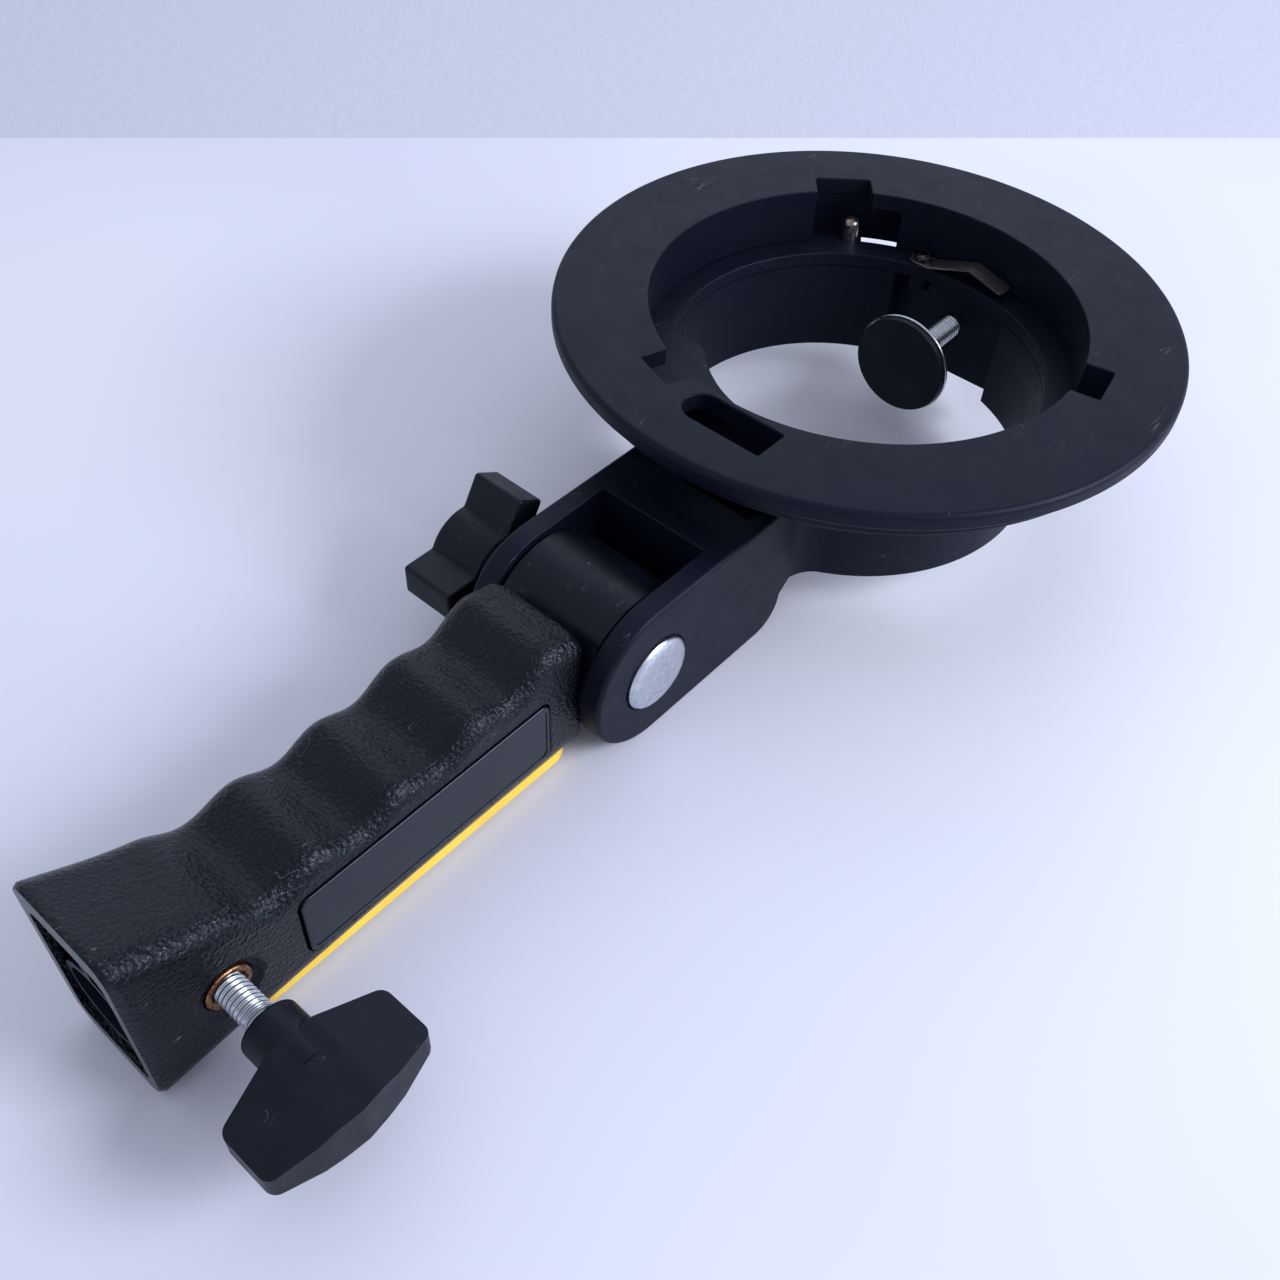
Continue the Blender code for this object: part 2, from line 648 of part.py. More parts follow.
def screw_tip():
    """The height that a flange screw's tip reaches."""
    return -FLANGE_THICK + FLANGE_SCREW_BITE


def passage_outline():
    """The hole that the flash goes through: round, with a saddle of smaller radius on the arm's side."""
    down = -QUARTER
    points = []
    for step in range(RING_STEPS):
        angle = down + 2.0 * math.pi * (step + 0.5) / RING_STEPS
        offset = min(angle - down, 2.0 * math.pi - (angle - down)) - SADDLE_HALF_ANGLE
        share = min(max(offset / SADDLE_BLEND_ANGLE, 0.0), 1.0)
        swell = (1.0 - math.cos(math.pi * share)) / 2.0
        radius = SADDLE_RADIUS + (COLLAR_RADIUS - SADDLE_RADIUS) * swell
        points.append((radius * math.cos(angle), radius * math.sin(angle)))
    return points


def collar_plan():
    """The collar's outer wall: round, with the clamp's flat block on the side away from the arm."""
    half = CLAMP_BLOCK_WIDTH / 2.0
    corner = math.asin(half / COLLAR_OUTER)
    points = arc((0.0, 0.0), COLLAR_OUTER, QUARTER + corner, 5.0 * QUARTER - corner, RING_STEPS)
    return points + [(half, CLAMP_OUTER), (-half, CLAMP_OUTER)]


def arm_plan():
    """The arm seen from above, with fillets where it leaves the collar."""
    centre_x = CHEEK_OUTER + ARM_FILLET
    centre_y = -math.sqrt((COLLAR_OUTER + ARM_FILLET) ** 2 - centre_x ** 2)
    lean = math.atan2(-centre_y, -centre_x)
    root_y = -SADDLE_RADIUS * ARM_ROOT_SHARE + OVERRUN
    end_y = -(TILT_REACH + CHEEK_RADIUS + OVERRUN)
    right = arc((centre_x, centre_y), ARM_FILLET + GAP, lean, math.pi, 6)
    right[-1] = (CHEEK_OUTER, centre_y)
    root_x = SADDLE_RADIUS * math.sin(SADDLE_HALF_ANGLE) / 2.0
    half = [(root_x, root_y)] + right + [(CHEEK_OUTER, end_y)]
    return half + [(-x, y) for x, y in reversed(half)]


def arm_side():
    """The arm seen from the side as (Y, Z) points: flat top, round clevis end, flat foot and a toe."""
    root_y = -SADDLE_RADIUS * ARM_ROOT_SHARE
    foot = -(TILT_DEPTH + CHEEK_RADIUS)
    low = COLLAR_BOTTOM + GAP
    over = BODY_TOP + OVERRUN / 2.0
    points = [(root_y, over), (-TILT_REACH, over)]
    points += arc((-TILT_REACH, -TILT_DEPTH), CHEEK_RADIUS, QUARTER, 3.0 * QUARTER, 18)[1:]
    toe = (-ARM_FLAT_END, foot + ARM_TOE_RADIUS)
    points += arc(toe, ARM_TOE_RADIUS, -QUARTER, 0.0, 5)
    return points + [(-(COLLAR_RADIUS + COLLAR_OUTER) / 2.0, low), (root_y, low)]


def backing_ring():
    """Rim, housing and shelf as one turned dish, with the latch's block and the leaf's boss under it."""
    profile = [
        (0.0, SHELF_TOP), (HOUSING_RADIUS, SHELF_TOP), (HOUSING_RADIUS, BAND_TOP), (HOUSING_OUTER, BAND_TOP),
        (HOUSING_OUTER, BAND_TOP - BAND_SCOOP), (BAND_RADIUS - BAND_LIP, BAND_TOP - BAND_SCOOP),
        (BAND_RADIUS - BAND_LIP, BAND_TOP), (BAND_RADIUS, BAND_TOP), (BAND_RADIUS, BAND_BOTTOM),
        (HOUSING_OUTER, BAND_BOTTOM), (HOUSING_OUTER, SHELF_BOTTOM), (0.0, SHELF_BOTTOM)]
    made = piece("backing_ring", turned(profile, RING_STEPS), BLACK_PLASTIC, ring)
    add_latch_block(made)
    add_leaf_boss(made)
    cut(made, extruded([passage_outline()], SHELF_BOTTOM - OVERRUN, SHELF_TOP + OVERRUN))
    cut(made, extruded([umbrella_outline()], SHELF_BOTTOM - OVERRUN, BAND_TOP + OVERRUN))
    for index, angle in enumerate(NOTCH_ANGLES):
        start = angle - LUG_SWEEP
        end = angle - notch_half_angle(index)
        window = sector(BORE_RADIUS + GAP * 2.0, HOUSING_RADIUS - GAP, start, end)
        cut(made, extruded([window], SHELF_BOTTOM - OVERRUN, SHELF_TOP + OVERRUN))
    for angle in FLANGE_SCREW_ANGLES:
        hole = cylinder(FLANGE_SCREW_RADIUS + GAP, BAND_BOTTOM - OVERRUN, BAND_TOP + OVERRUN, 12)
        cut(made, moved(hole, around(screw_circle(), angle)))
    head = RING_SCREW_HEAD_RADIUS + GAP
    shank = RING_SCREW_RADIUS + GAP
    through = -(SHELF_THICK + OVERRUN)
    hole = [(0.0, OVERRUN), (head, OVERRUN), (head, -RING_SCREW_SINK)]
    hole += [(shank, shank - head - RING_SCREW_SINK), (shank, through), (0.0, through)]
    for x, y in ring_screw_places():
        cut(made, moved(turned(hole, 16), (x, y, SHELF_TOP)))
    return made


def ring_screw_places():
    """Four screws go down through the shelf, two into the clamp's block and two into the arm's side walls."""
    block_x = CLAMP_BLOCK_WIDTH / 2.0 - RING_SCREW_INSET
    block_y = (CLAMP_FLAT + CLAMP_OUTER) / 2.0
    arm_x = CHEEK_OUTER - ARM_SIDE_WALL / 2.0
    arm_y = RING_SCREW_EDGE - UMBRELLA_SLOT_START
    return [(block_x, block_y), (-block_x, block_y), (-arm_x, arm_y), (arm_x, arm_y)]


def ring_screws():
    """Countersunk screws, flush with the shelf."""
    length = SHELF_THICK + RING_SCREW_BITE
    top = -RING_SCREW_SINK
    cone = RING_SCREW_HEAD_RADIUS - RING_SCREW_RADIUS
    profile = [(0.0, top), (RING_SCREW_HEAD_RADIUS, top), (RING_SCREW_RADIUS, top - cone)]
    profile += [(RING_SCREW_RADIUS, RING_SCREW_RADIUS - length), (0.0, -length)]
    for number, (x, y) in enumerate(ring_screw_places(), 1):
        place = (x, y, SHELF_TOP)
        made = piece(f"ring_screw_{number}", moved(turned(profile, 12), place), STEEL, ring)
        cross_recess(made, RING_SCREW_HEAD_RADIUS, top, cone * CROSS_DEPTH_SHARE, place)


def collar():
    """The collar as a solid block, a little too high until its top is trimmed."""
    block = extruded([collar_plan()], COLLAR_BOTTOM, BODY_TOP + OVERRUN)
    return piece("bracket_body", block, BLACK_PLASTIC, ring)


def add_arm(body):
    """The arm is its plan outline and its side outline crossed. Then the top is trimmed flat."""
    reach = CHEEK_OUTER + ARM_FILLET * 2.0
    arm = join(body, moved(extruded([arm_side()], -reach, reach), turn=YZ_TO_X))
    plan = extruded([arm_plan()], -(TILT_DEPTH + CHEEK_RADIUS + OVERRUN), BODY_TOP + 2.0 * OVERRUN)
    combine(arm, plan, "INTERSECT", ring)
    far = TILT_REACH + CHEEK_RADIUS
    cut(body, box((-far, -far, BODY_TOP), (far, far, BODY_TOP + 2.0 * OVERRUN)))


def hollow_arm(body):
    """Open the slot between the cheeks, core the arm from below and let the umbrella slot through."""
    foot = -(TILT_DEPTH + CHEEK_RADIUS)
    far = -(TILT_REACH + CHEEK_RADIUS + OVERRUN)
    cut(body, box((-CHEEK_INNER, far, foot - OVERRUN), (CHEEK_INNER, -SLOT_START, BODY_TOP + OVERRUN)))
    half = CHEEK_OUTER - ARM_SIDE_WALL
    cavity_start = COLLAR_OUTER + GAP
    cavity_low = (-half, SLOT_WALL - SLOT_START, foot - OVERRUN)
    cut(body, box(cavity_low, (half, -cavity_start, BODY_TOP - ARM_TOP_WALL)))
    cut(body, extruded([umbrella_outline()], BODY_TOP - ARM_TOP_WALL - OVERRUN, BODY_TOP + OVERRUN))


def open_passage(body):
    """Cut the flash's passage, leave a thin saddle wall, and open the recess of the clamp's pad."""
    cut(body, extruded([passage_outline()], COLLAR_BOTTOM - OVERRUN, BODY_TOP + OVERRUN))
    spread = SADDLE_HALF_ANGLE - SADDLE_WALL / SADDLE_RADIUS
    core = sector(SADDLE_RADIUS + SADDLE_WALL, COLLAR_RADIUS, -QUARTER - spread, -QUARTER + spread)
    cut(body, extruded([core], COLLAR_BOTTOM - OVERRUN, BODY_TOP - SADDLE_WALL))
    half = CLAMP_RECESS_WIDTH / 2.0
    deep = COLLAR_RADIUS - CLAMP_BLOCK_WALL * 2.0
    cut(body, box((-half, deep, COLLAR_BOTTOM - OVERRUN), (half, CLAMP_FLAT, BODY_TOP + OVERRUN)))


def add_clamp_seat(body):
    """The hole through the flat wall for the clamp's rod, and the pocket for its nut."""
    hole = cylinder(ROD_RADIUS + GAP, CLAMP_FLAT - OVERRUN, CLAMP_OUTER + OVERRUN, 20)
    cut(body, hole, clamp)
    pocket = extruded([hexagon(CLAMP_NUT_FLATS + 2.0 * GAP)], CLAMP_OUTER - CLAMP_NUT_THICK - GAP,
                      CLAMP_OUTER + OVERRUN)
    cut(body, pocket, clamp)


def latch_outline(inner_radius):
    """The latch block's outline in the latch's frame, reaching in to this radius of the ring."""
    outer = LATCH_BLOCK_WIDTH / 2.0
    low = LATCH_BLOCK_SHIFT - LATCH_BLOCK_LENGTH / 2.0
    high = LATCH_BLOCK_SHIFT + LATCH_BLOCK_LENGTH / 2.0
    inner = inner_radius - LATCH_RADIUS
    corner = outer * LATCH_BLOCK_CORNER_SHARE
    points = [(inner, low)] + arc((outer - corner, low + corner), corner, -QUARTER, 0.0, 3)
    return points + arc((outer - corner, high - corner), corner, 0.0, QUARTER, 3) + [(inner, high)]


def latch_cover_screw_places():
    """Where the cover's two screws go in the latch's frame."""
    return [(side * LATCH_COVER_SCREW_SPREAD, LATCH_COVER_SCREW_OFFSET) for side in (-1, 1)]


def add_latch_block(body):
    """The block under the shelf that holds the latch pin's spring."""
    outline = latch_outline(COLLAR_OUTER + GAP)
    top = -SHELF_THICK / 2.0
    bottom = SHELF_DEPTH - LATCH_BLOCK_DEPTH
    join(body, extruded([outline], bottom, top), latch)
    cut(body, cylinder(LATCH_PIN_RADIUS + GAP / 2.0, -SHELF_THICK - OVERRUN, OVERRUN, 16), latch)
    cut(body, cylinder(LATCH_CHAMBER_RADIUS, bottom - OVERRUN, -SHELF_THICK, 20), latch)
    for x, y in latch_cover_screw_places():
        hole_end = bottom + LATCH_COVER_SCREW_BITE
        hole = cylinder(LATCH_COVER_SCREW_RADIUS + GAP / 2.0, bottom - OVERRUN, hole_end, 12)
        cut(body, moved(hole, (x, y, 0.0)), latch)


def add_leaf_boss(body):
    """A small boss under the shelf for the leaf spring's screw."""
    top = -SHELF_THICK / 2.0
    bottom = -(SHELF_THICK + LEAF_BOSS_DEPTH)
    join(body, cylinder(LEAF_BOSS_RADIUS, bottom, top, 20), leaf)
    cut(body, cylinder(LEAF_SCREW_RADIUS + GAP / 2.0, bottom + GAP, OVERRUN, 12), leaf)


def add_bolt_holes(body):
    """A round hole through both cheeks, a square seat and a shallow counterbore on the bolt head's side."""
    cut(body, cylinder(BOLT_RADIUS + GAP, -CHEEK_OUTER - OVERRUN, CHEEK_OUTER + OVERRUN, 24), bolt)
    side = BOLT_RADIUS + GAP
    floor = CHEEK_OUTER - BOLT_HEAD_SINK
    cut(body, box((-side, -side, floor - BOLT_NECK - GAP), (side, side, floor + OVERRUN)), bolt)
    cut(body, cylinder(BOLT_HEAD_RADIUS + GAP, floor, CHEEK_OUTER + OVERRUN, 32), bolt)


def bracket_body():
    """The collar and the clevis arm, one moulding, with seats for the backing ring's boss and screws."""
    body = collar()
    add_arm(body)
    open_passage(body)
    hollow_arm(body)
    add_clamp_seat(body)
    add_bolt_holes(body)
    seat = cylinder(LEAF_BOSS_RADIUS + GAP, BODY_TOP - LEAF_BOSS_DEPTH, BODY_TOP + OVERRUN, 20)
    cut(body, moved(seat, (LEAF_SCREW_X, LEAF_Y, 0.0)))
    for x, y in ring_screw_places():
        tip = SHELF_TOP - SHELF_THICK - RING_SCREW_BITE
        hole = cylinder(RING_SCREW_RADIUS + GAP / 2.0, tip - GAP, BODY_TOP + OVERRUN, 12)
        cut(body, moved(hole, (x, y, 0.0)))
    return body


def flange_screws():
    """Four screws from behind, heads under the backing rim."""
    over = Matrix.Rotation(math.pi, 4, "X")
    length = screw_tip() - (BAND_BOTTOM - GAP)
    for number, angle in enumerate(FLANGE_SCREW_ANGLES, 1):
        place = around(screw_circle(), angle, BAND_BOTTOM - GAP)
        screw(f"flange_screw_{number}", STEEL, ring, place, FLANGE_SCREW_HEAD_RADIUS, FLANGE_SCREW_HEAD,
              FLANGE_SCREW_RADIUS, length, over)


def saddle_pad():
    """A thin rubber sheet on the saddle's inner wall."""
    outer = SADDLE_RADIUS - GAP
    outline = sector(outer - SADDLE_PAD_THICK, outer, -QUARTER - SADDLE_PAD_HALF_ANGLE,
                     -QUARTER + SADDLE_PAD_HALF_ANGLE)
    middle = (SHELF_TOP + COLLAR_BOTTOM) / 2.0
    half = SADDLE_PAD_HEIGHT / 2.0
    return piece("saddle_pad", extruded([outline], middle - half, middle + half), RUBBER, ring)


def latch_pieces():
    """Domed pin with a shoulder and a stem, spring, cover with two screws, and the finger tab."""
    chamber_top = -SHELF_THICK
    chamber_bottom = SHELF_DEPTH - LATCH_BLOCK_DEPTH
    cover_top = chamber_bottom - GAP
    cover_bottom = cover_top - LATCH_COVER_THICK
    tab_top = cover_bottom - GAP
    stem_end = tab_top - LATCH_TAB_THICK - LATCH_STEM_TAIL
    shoulder_top = chamber_top - GAP
    shoulder_bottom = shoulder_top - LATCH_SHOULDER
    dome = LATCH_PIN_RADIUS * LATCH_DOME_SHARE
    flat = LATCH_PIN_RADIUS * LATCH_DOME_FLAT_SHARE
    profile = [(0.0, LATCH_PIN_RISE), (flat, LATCH_PIN_RISE - dome * LATCH_DOME_DROP_SHARE)]
    profile += [(LATCH_PIN_RADIUS, LATCH_PIN_RISE - dome), (LATCH_PIN_RADIUS, shoulder_top)]
    profile += [(LATCH_SHOULDER_RADIUS, shoulder_top), (LATCH_SHOULDER_RADIUS, shoulder_bottom)]
    profile += [(LATCH_STEM_RADIUS, shoulder_bottom), (LATCH_STEM_RADIUS, stem_end), (0.0, stem_end)]
    piece("latch_pin", turned(profile, 20), ZINC, latch)

    spring_low = cover_top + LATCH_SPRING_WIRE / 2.0 + GAP
    spring_high = shoulder_bottom - LATCH_SPRING_WIRE / 2.0 - GAP
    coil_radius = (LATCH_STEM_RADIUS + LATCH_CHAMBER_RADIUS) / 2.0
    curve = bpy.data.curves.new("latch_spring", "CURVE")
    curve.dimensions = "3D"
    curve.bevel_depth = LATCH_SPRING_WIRE / 2.0
    curve.bevel_resolution = 1
    curve.use_fill_caps = True
    spline = curve.splines.new("POLY")
    count = LATCH_SPRING_TURNS * 8
    spline.points.add(count)
    for index, point in enumerate(spline.points):
        share = index / count
        angle = 2.0 * math.pi * LATCH_SPRING_TURNS * share
        height = spring_low + (spring_high - spring_low) * share
        point.co = (coil_radius * math.cos(angle), coil_radius * math.sin(angle), height, 1.0)
    piece("latch_spring", evaluated(bpy.data.objects.new("latch_spring", curve)), STEEL, latch)
    climb = (spring_high - spring_low) / LATCH_SPRING_TURNS
    print("latch spring least gap between turns, mm:", round((climb - LATCH_SPRING_WIRE) / MM, 2))

    outline = latch_outline(COLLAR_OUTER + GAP)
    cover = piece("latch_cover", extruded([outline], cover_bottom, cover_top), BLACK_PLASTIC, latch)
    cut(cover, cylinder(LATCH_STEM_RADIUS + GAP, cover_bottom - OVERRUN, cover_top + OVERRUN, 16))
    over = Matrix.Rotation(math.pi, 4, "X")
    length = GAP + LATCH_COVER_THICK + LATCH_COVER_SCREW_BITE
    for number, (x, y) in enumerate(latch_cover_screw_places(), 1):
        hole = cylinder(LATCH_COVER_SCREW_RADIUS + GAP, cover_bottom - OVERRUN, cover_top + OVERRUN, 12)
        cut(cover, moved(hole, (x, y, 0.0)))
        screw(f"latch_cover_screw_{number}", STEEL, latch, (x, y, cover_bottom - GAP),
              LATCH_COVER_SCREW_HEAD_RADIUS, LATCH_COVER_SCREW_HEAD, LATCH_COVER_SCREW_RADIUS, length, over)

    inner = -LATCH_TAB_INSET
    half = LATCH_TAB_WIDTH / 2.0
    blade = box((inner, -half, tab_top - LATCH_TAB_THICK), (LATCH_TAB_REACH, half, tab_top))
    tab = piece("latch_tab", blade, BLACK_PLASTIC, latch)
    lip_low = tab_top - LATCH_TAB_THICK - LATCH_TAB_LIP
    lip = box((LATCH_TAB_REACH - LATCH_TAB_THICK, -half, lip_low), (LATCH_TAB_REACH, half, tab_top - GAP))
    join(tab, lip)
    cut(tab, cylinder(LATCH_STEM_RADIUS + GAP, stem_end - OVERRUN, tab_top + OVERRUN, 16))
    soften(tab, LATCH_TAB_THICK / 6.0)


def leaf_spring():
    """A bent steel strip: flat foot, ramp, bend and a lowered tip with round corners."""
    half = LEAF_THICK / 2.0
    line = [(-LEAF_HEEL, half), (LEAF_FOOT, half), (LEAF_APEX, LEAF_APEX_RISE), (LEAF_TIP, LEAF_TIP_RISE)]
    top = []
    bottom = []
    for index, (x, z) in enumerate(line):
        before = Vector(line[max(index - 1, 0)])
        after = Vector(line[min(index + 1, len(line) - 1)])
        along = (after - before).normalized()
        top.append((x - along.y * half, z + along.x * half))
        bottom.append((x + along.y * half, z - along.x * half))
    reach = LEAF_WIDTH
    strip = moved(extruded([top + bottom[::-1]], -reach, reach), turn=Matrix.Rotation(QUARTER, 4, "X"))
    made = piece("leaf_spring", strip, STEEL, leaf)
    wide = LEAF_WIDTH / 2.0
    start = -LEAF_HEEL - OVERRUN
    round_start = LEAF_TIP - LEAF_TIP_ROUND
    plan = [(start, -wide)]
    plan += arc((round_start, LEAF_TIP_ROUND - wide), LEAF_TIP_ROUND, -QUARTER, 0.0, 4)
    plan += arc((round_start, wide - LEAF_TIP_ROUND), LEAF_TIP_ROUND, 0.0, QUARTER, 4)
    plan += [(start, wide)]
    combine(made, extruded([plan], -LEAF_APEX_RISE, LEAF_APEX_RISE * 2.0), "INTERSECT")
    cut(made, cylinder(LEAF_SCREW_RADIUS + GAP, -OVERRUN, OVERRUN, 16))
    shank = LEAF_THICK + SHELF_THICK + LEAF_BOSS_DEPTH / 2.0
    screw("leaf_spring_screw", ZINC, leaf, (0.0, 0.0, LEAF_THICK + GAP),
          LEAF_SCREW_HEAD_RADIUS, LEAF_SCREW_HEAD, LEAF_SCREW_RADIUS, shank)


def t_knob(name, parent, start, rod_end):
    """A round hub with a T-shaped wing: thick in the middle, thin at the tips, bored for its rod."""
    hub = cylinder(KNOB_HUB_RADIUS, 0.0, KNOB_HUB + KNOB_WING_START / 2.0, 28)
    knob = piece(name, moved(hub, (0.0, 0.0, start)), KNOB_PLASTIC, parent)
    tip = KNOB_HALF_SPAN
    root = KNOB_HUB_RADIUS * KNOB_ROOT_SHARE
    low_span, low_height = KNOB_LOW_BEND_SHARES
    high_span, high_height = KNOB_HIGH_BEND_SHARES
    face = [(-root, KNOB_WING_START), (-tip * low_span, KNOB_TIP_START * low_height)]
    face += [(-tip, KNOB_TIP_START), (-tip, KNOB_TIP_END)]
    face += [(-tip * high_span, KNOB_DEPTH * high_height), (0.0, KNOB_DEPTH)]
    face += [(-x, z) for x, z in reversed(face[:-1])]
    body = extruded([face], -KNOB_MID_HALF * 2.0, KNOB_MID_HALF * 2.0)
    wing = join(knob, moved(body, (0.0, 0.0, start), Matrix.Rotation(QUARTER, 4, "X")))
    wing.rotation_euler = (0.0, 0.0, QUARTER)
    plan = [(-tip - OVERRUN, -KNOB_TIP_HALF), (-root, -KNOB_MID_HALF), (root, -KNOB_MID_HALF),
            (tip + OVERRUN, -KNOB_TIP_HALF), (tip + OVERRUN, KNOB_TIP_HALF), (root, KNOB_MID_HALF),
            (-root, KNOB_MID_HALF), (-tip - OVERRUN, KNOB_TIP_HALF)]
    crossing = extruded([plan], start - OVERRUN, start + KNOB_DEPTH + OVERRUN)
    shape = combine(wing, crossing, "INTERSECT", parent)
    shape.rotation_euler = (0.0, 0.0, QUARTER)
    soften(wing, KNOB_EDGE, 2)
    cut(knob, cylinder(ROD_RADIUS + GAP, start - OVERRUN, rod_end + GAP, 20))
    return knob


def clamp_pieces():
    """Face and plate of the pad, the nut in the wall, the threaded rod and its knob."""
    face_end = CLAMP_PAD_PLACE + CLAMP_PAD_FACE
    plate_start = face_end + GAP
    plate_end = plate_start + CLAMP_PLATE
    cup_end = plate_end + CLAMP_CUP
    piece("clamp_pad_face", cylinder(CLAMP_PAD_FACE_RADIUS, CLAMP_PAD_PLACE, face_end), RUBBER, clamp)
    plate = piece("clamp_pad_plate", cylinder(CLAMP_PLATE_RADIUS, plate_start, plate_end), ZINC, clamp)
    join(plate, cylinder(CLAMP_CUP_RADIUS, plate_end - CLAMP_PLATE / 2.0, cup_end, 24))
    cut(plate, cylinder(ROD_RADIUS + GAP, plate_end, cup_end + OVERRUN, 20))
    nut = extruded([hexagon(CLAMP_NUT_FLATS)], CLAMP_OUTER - CLAMP_NUT_THICK, CLAMP_OUTER - GAP)
    cut(piece("clamp_nut", nut, BRASS, clamp),
        cylinder(ROD_RADIUS + GAP, CLAMP_FLAT, CLAMP_OUTER + OVERRUN, 20))
    rod_end = CLAMP_KNOB_START + KNOB_BORE_DEPTH
    rod = threaded(plate_end + GAP, rod_end, cup_end + GAP, CLAMP_KNOB_START - GAP)
    piece("clamp_screw", rod, ZINC, clamp)
    t_knob("clamp_knob", clamp, CLAMP_KNOB_START, rod_end)


def bolt_pieces():
    """Carriage bolt from the right cheek, washers beside the drum, flat washer, nut and wing knob."""
    washer_start = CHEEK_OUTER + GAP
    washer_end = washer_start + KNOB_WASHER_THICK
    knob_start = washer_end + GAP
    nut_start = knob_start + GAP
    nut_end = nut_start + TILT_NUT_THICK
    bolt_end = nut_end + BOLT_TAIL
    seat = CHEEK_OUTER - BOLT_HEAD_SINK + GAP
    crown = seat + BOLT_HEAD
    profile = [(BOLT_HEAD_RADIUS * wide, crown - BOLT_HEAD * drop) for wide, drop in BOLT_DOME_SHARES]
    profile += [(BOLT_HEAD_RADIUS, seat), (BOLT_RADIUS, seat), (BOLT_RADIUS, -bolt_end + ROD_THREAD_DEPTH)]
    profile += [(BOLT_RADIUS - ROD_THREAD_DEPTH, -bolt_end), (0.0, -bolt_end)]
    made = piece("tilt_bolt", turned(profile, 32), ZINC, bolt)
    side = BOLT_RADIUS
    neck_top = seat + BOLT_HEAD * BOLT_NECK_OVERLAP_SHARE
    join(made, box((-side, -side, seat - BOLT_NECK), (side, side, neck_top)))

    ring_low = KNUCKLE_HALF - FRICTION_WASHER_THICK
    for name, parent in (("tilt_washer_right", bolt), ("tilt_washer_left", knob_side)):
        washer = cylinder(FRICTION_WASHER_RADIUS, ring_low, KNUCKLE_HALF, 24)
        cut(piece(name, washer, RUBBER, parent), cylinder(BOLT_RADIUS + GAP, 0.0, CHEEK_OUTER, 24))
    flat = cylinder(KNOB_WASHER_RADIUS, washer_start, washer_end, 24)
    cut(piece("tilt_knob_washer", flat, ZINC, knob_side), cylinder(BOLT_RADIUS + GAP, 0.0, knob_start, 24))
    nut = extruded([hexagon(TILT_NUT_FLATS)], nut_start, nut_end)
    cut(piece("tilt_knob_nut", nut, BRASS, knob_side), cylinder(BOLT_RADIUS + GAP, 0.0, bolt_end, 24))
    tilt_knob(knob_start, nut_end, bolt_end)


def lobed_outline():
    """Three straight-sided lobes on a round hub."""
    half_angle = math.asin(TILT_KNOB_LOBE_HALF / TILT_KNOB_HUB_RADIUS)
    points = []
    count = len(TILT_KNOB_LOBE_ANGLES)
    for index, angle in enumerate(TILT_KNOB_LOBE_ANGLES):
        out = Vector((math.cos(angle), math.sin(angle)))
        across = Vector((-out.y, out.x)) * TILT_KNOB_LOBE_HALF
        tip = out * TILT_KNOB_LOBE_RADIUS
        points += [tuple(tip - across), tuple(tip + across)]
        following = TILT_KNOB_LOBE_ANGLES[(index + 1) % count]
        if following < angle:
            following += 2.0 * math.pi
        points += arc((0.0, 0.0), TILT_KNOB_HUB_RADIUS, angle + half_angle, following - half_angle, 6)
    return points


def tilt_knob(start, nut_end, bolt_end):
    """Knob with three block wings, a short collar towards the cheek, a nut pocket and a blind bore."""
    wing_start = start + TILT_KNOB_COLLAR
    end = wing_start + TILT_KNOB_LENGTH
    # The knob's own Z points to -X, so its X is world Z and its Y is world Y
    turn = Matrix(((0.0, 1.0, 0.0, 0.0), (1.0, 0.0, 0.0, 0.0), (0.0, 0.0, 1.0, 0.0), (0.0, 0.0, 0.0, 1.0)))
    outline = [tuple((turn @ Vector((x, y, 0.0)))[:2]) for x, y in lobed_outline()]
    made = piece("tilt_knob", extruded([outline], wing_start, end), KNOB_PLASTIC, knob_side)
    soften(made, TILT_KNOB_EDGE)
    join(made, cylinder(TILT_KNOB_COLLAR_RADIUS, start, wing_start + TILT_KNOB_COLLAR, 32))
    cut(made, extruded([hexagon(TILT_NUT_FLATS + 2.0 * GAP)], start - OVERRUN, nut_end + GAP))
    cut(made, cylinder(BOLT_RADIUS + GAP, start - OVERRUN, bolt_end + GAP, 24))


def tilt_knuckle():
    """Smooth drum between the cheeks and the tang that plugs into the grip."""
    drum = cylinder(DRUM_RADIUS, -KNUCKLE_HALF, KNUCKLE_HALF, 48)
    turn = Matrix.Rotation(QUARTER, 4, "Y")
    made = piece("tilt_knuckle", moved(drum, turn=turn), BLACK_PLASTIC, tilt)
    back = tang_back()
    join(made, moved(extruded([tang_outline()], 0.0, TANG_END), turn=Matrix.Rotation(QUARTER, 4, "X")))
    for sign in (-1, 1):
        recess = cylinder(FRICTION_WASHER_RADIUS + GAP, KNUCKLE_HALF - FRICTION_WASHER_THICK - GAP,
                          KNUCKLE_HALF + OVERRUN, 24)
        cut(made, moved(recess, turn=Matrix.Rotation(sign * QUARTER, 4, "Y")))
    through = cylinder(BOLT_RADIUS + GAP, -CHEEK_OUTER, CHEEK_OUTER, 24)
    cut(made, moved(through, turn=Matrix.Rotation(QUARTER, 4, "Y")))
    for place in GRIP_SCREW_PLACES:
        hole = cylinder(GRIP_SCREW_RADIUS + GAP / 2.0, -back - OVERRUN, GRIP_SCREW_BITE - back + GAP, 12)
        cut(made, moved(hole, (0.0, -place, 0.0)))
    return made


def tang_back():
    """How far the tang reaches towards the grip's back: just short of the cavity's wall."""
    return GRIP_BACK - GRIP_BACK_WALL - GAP


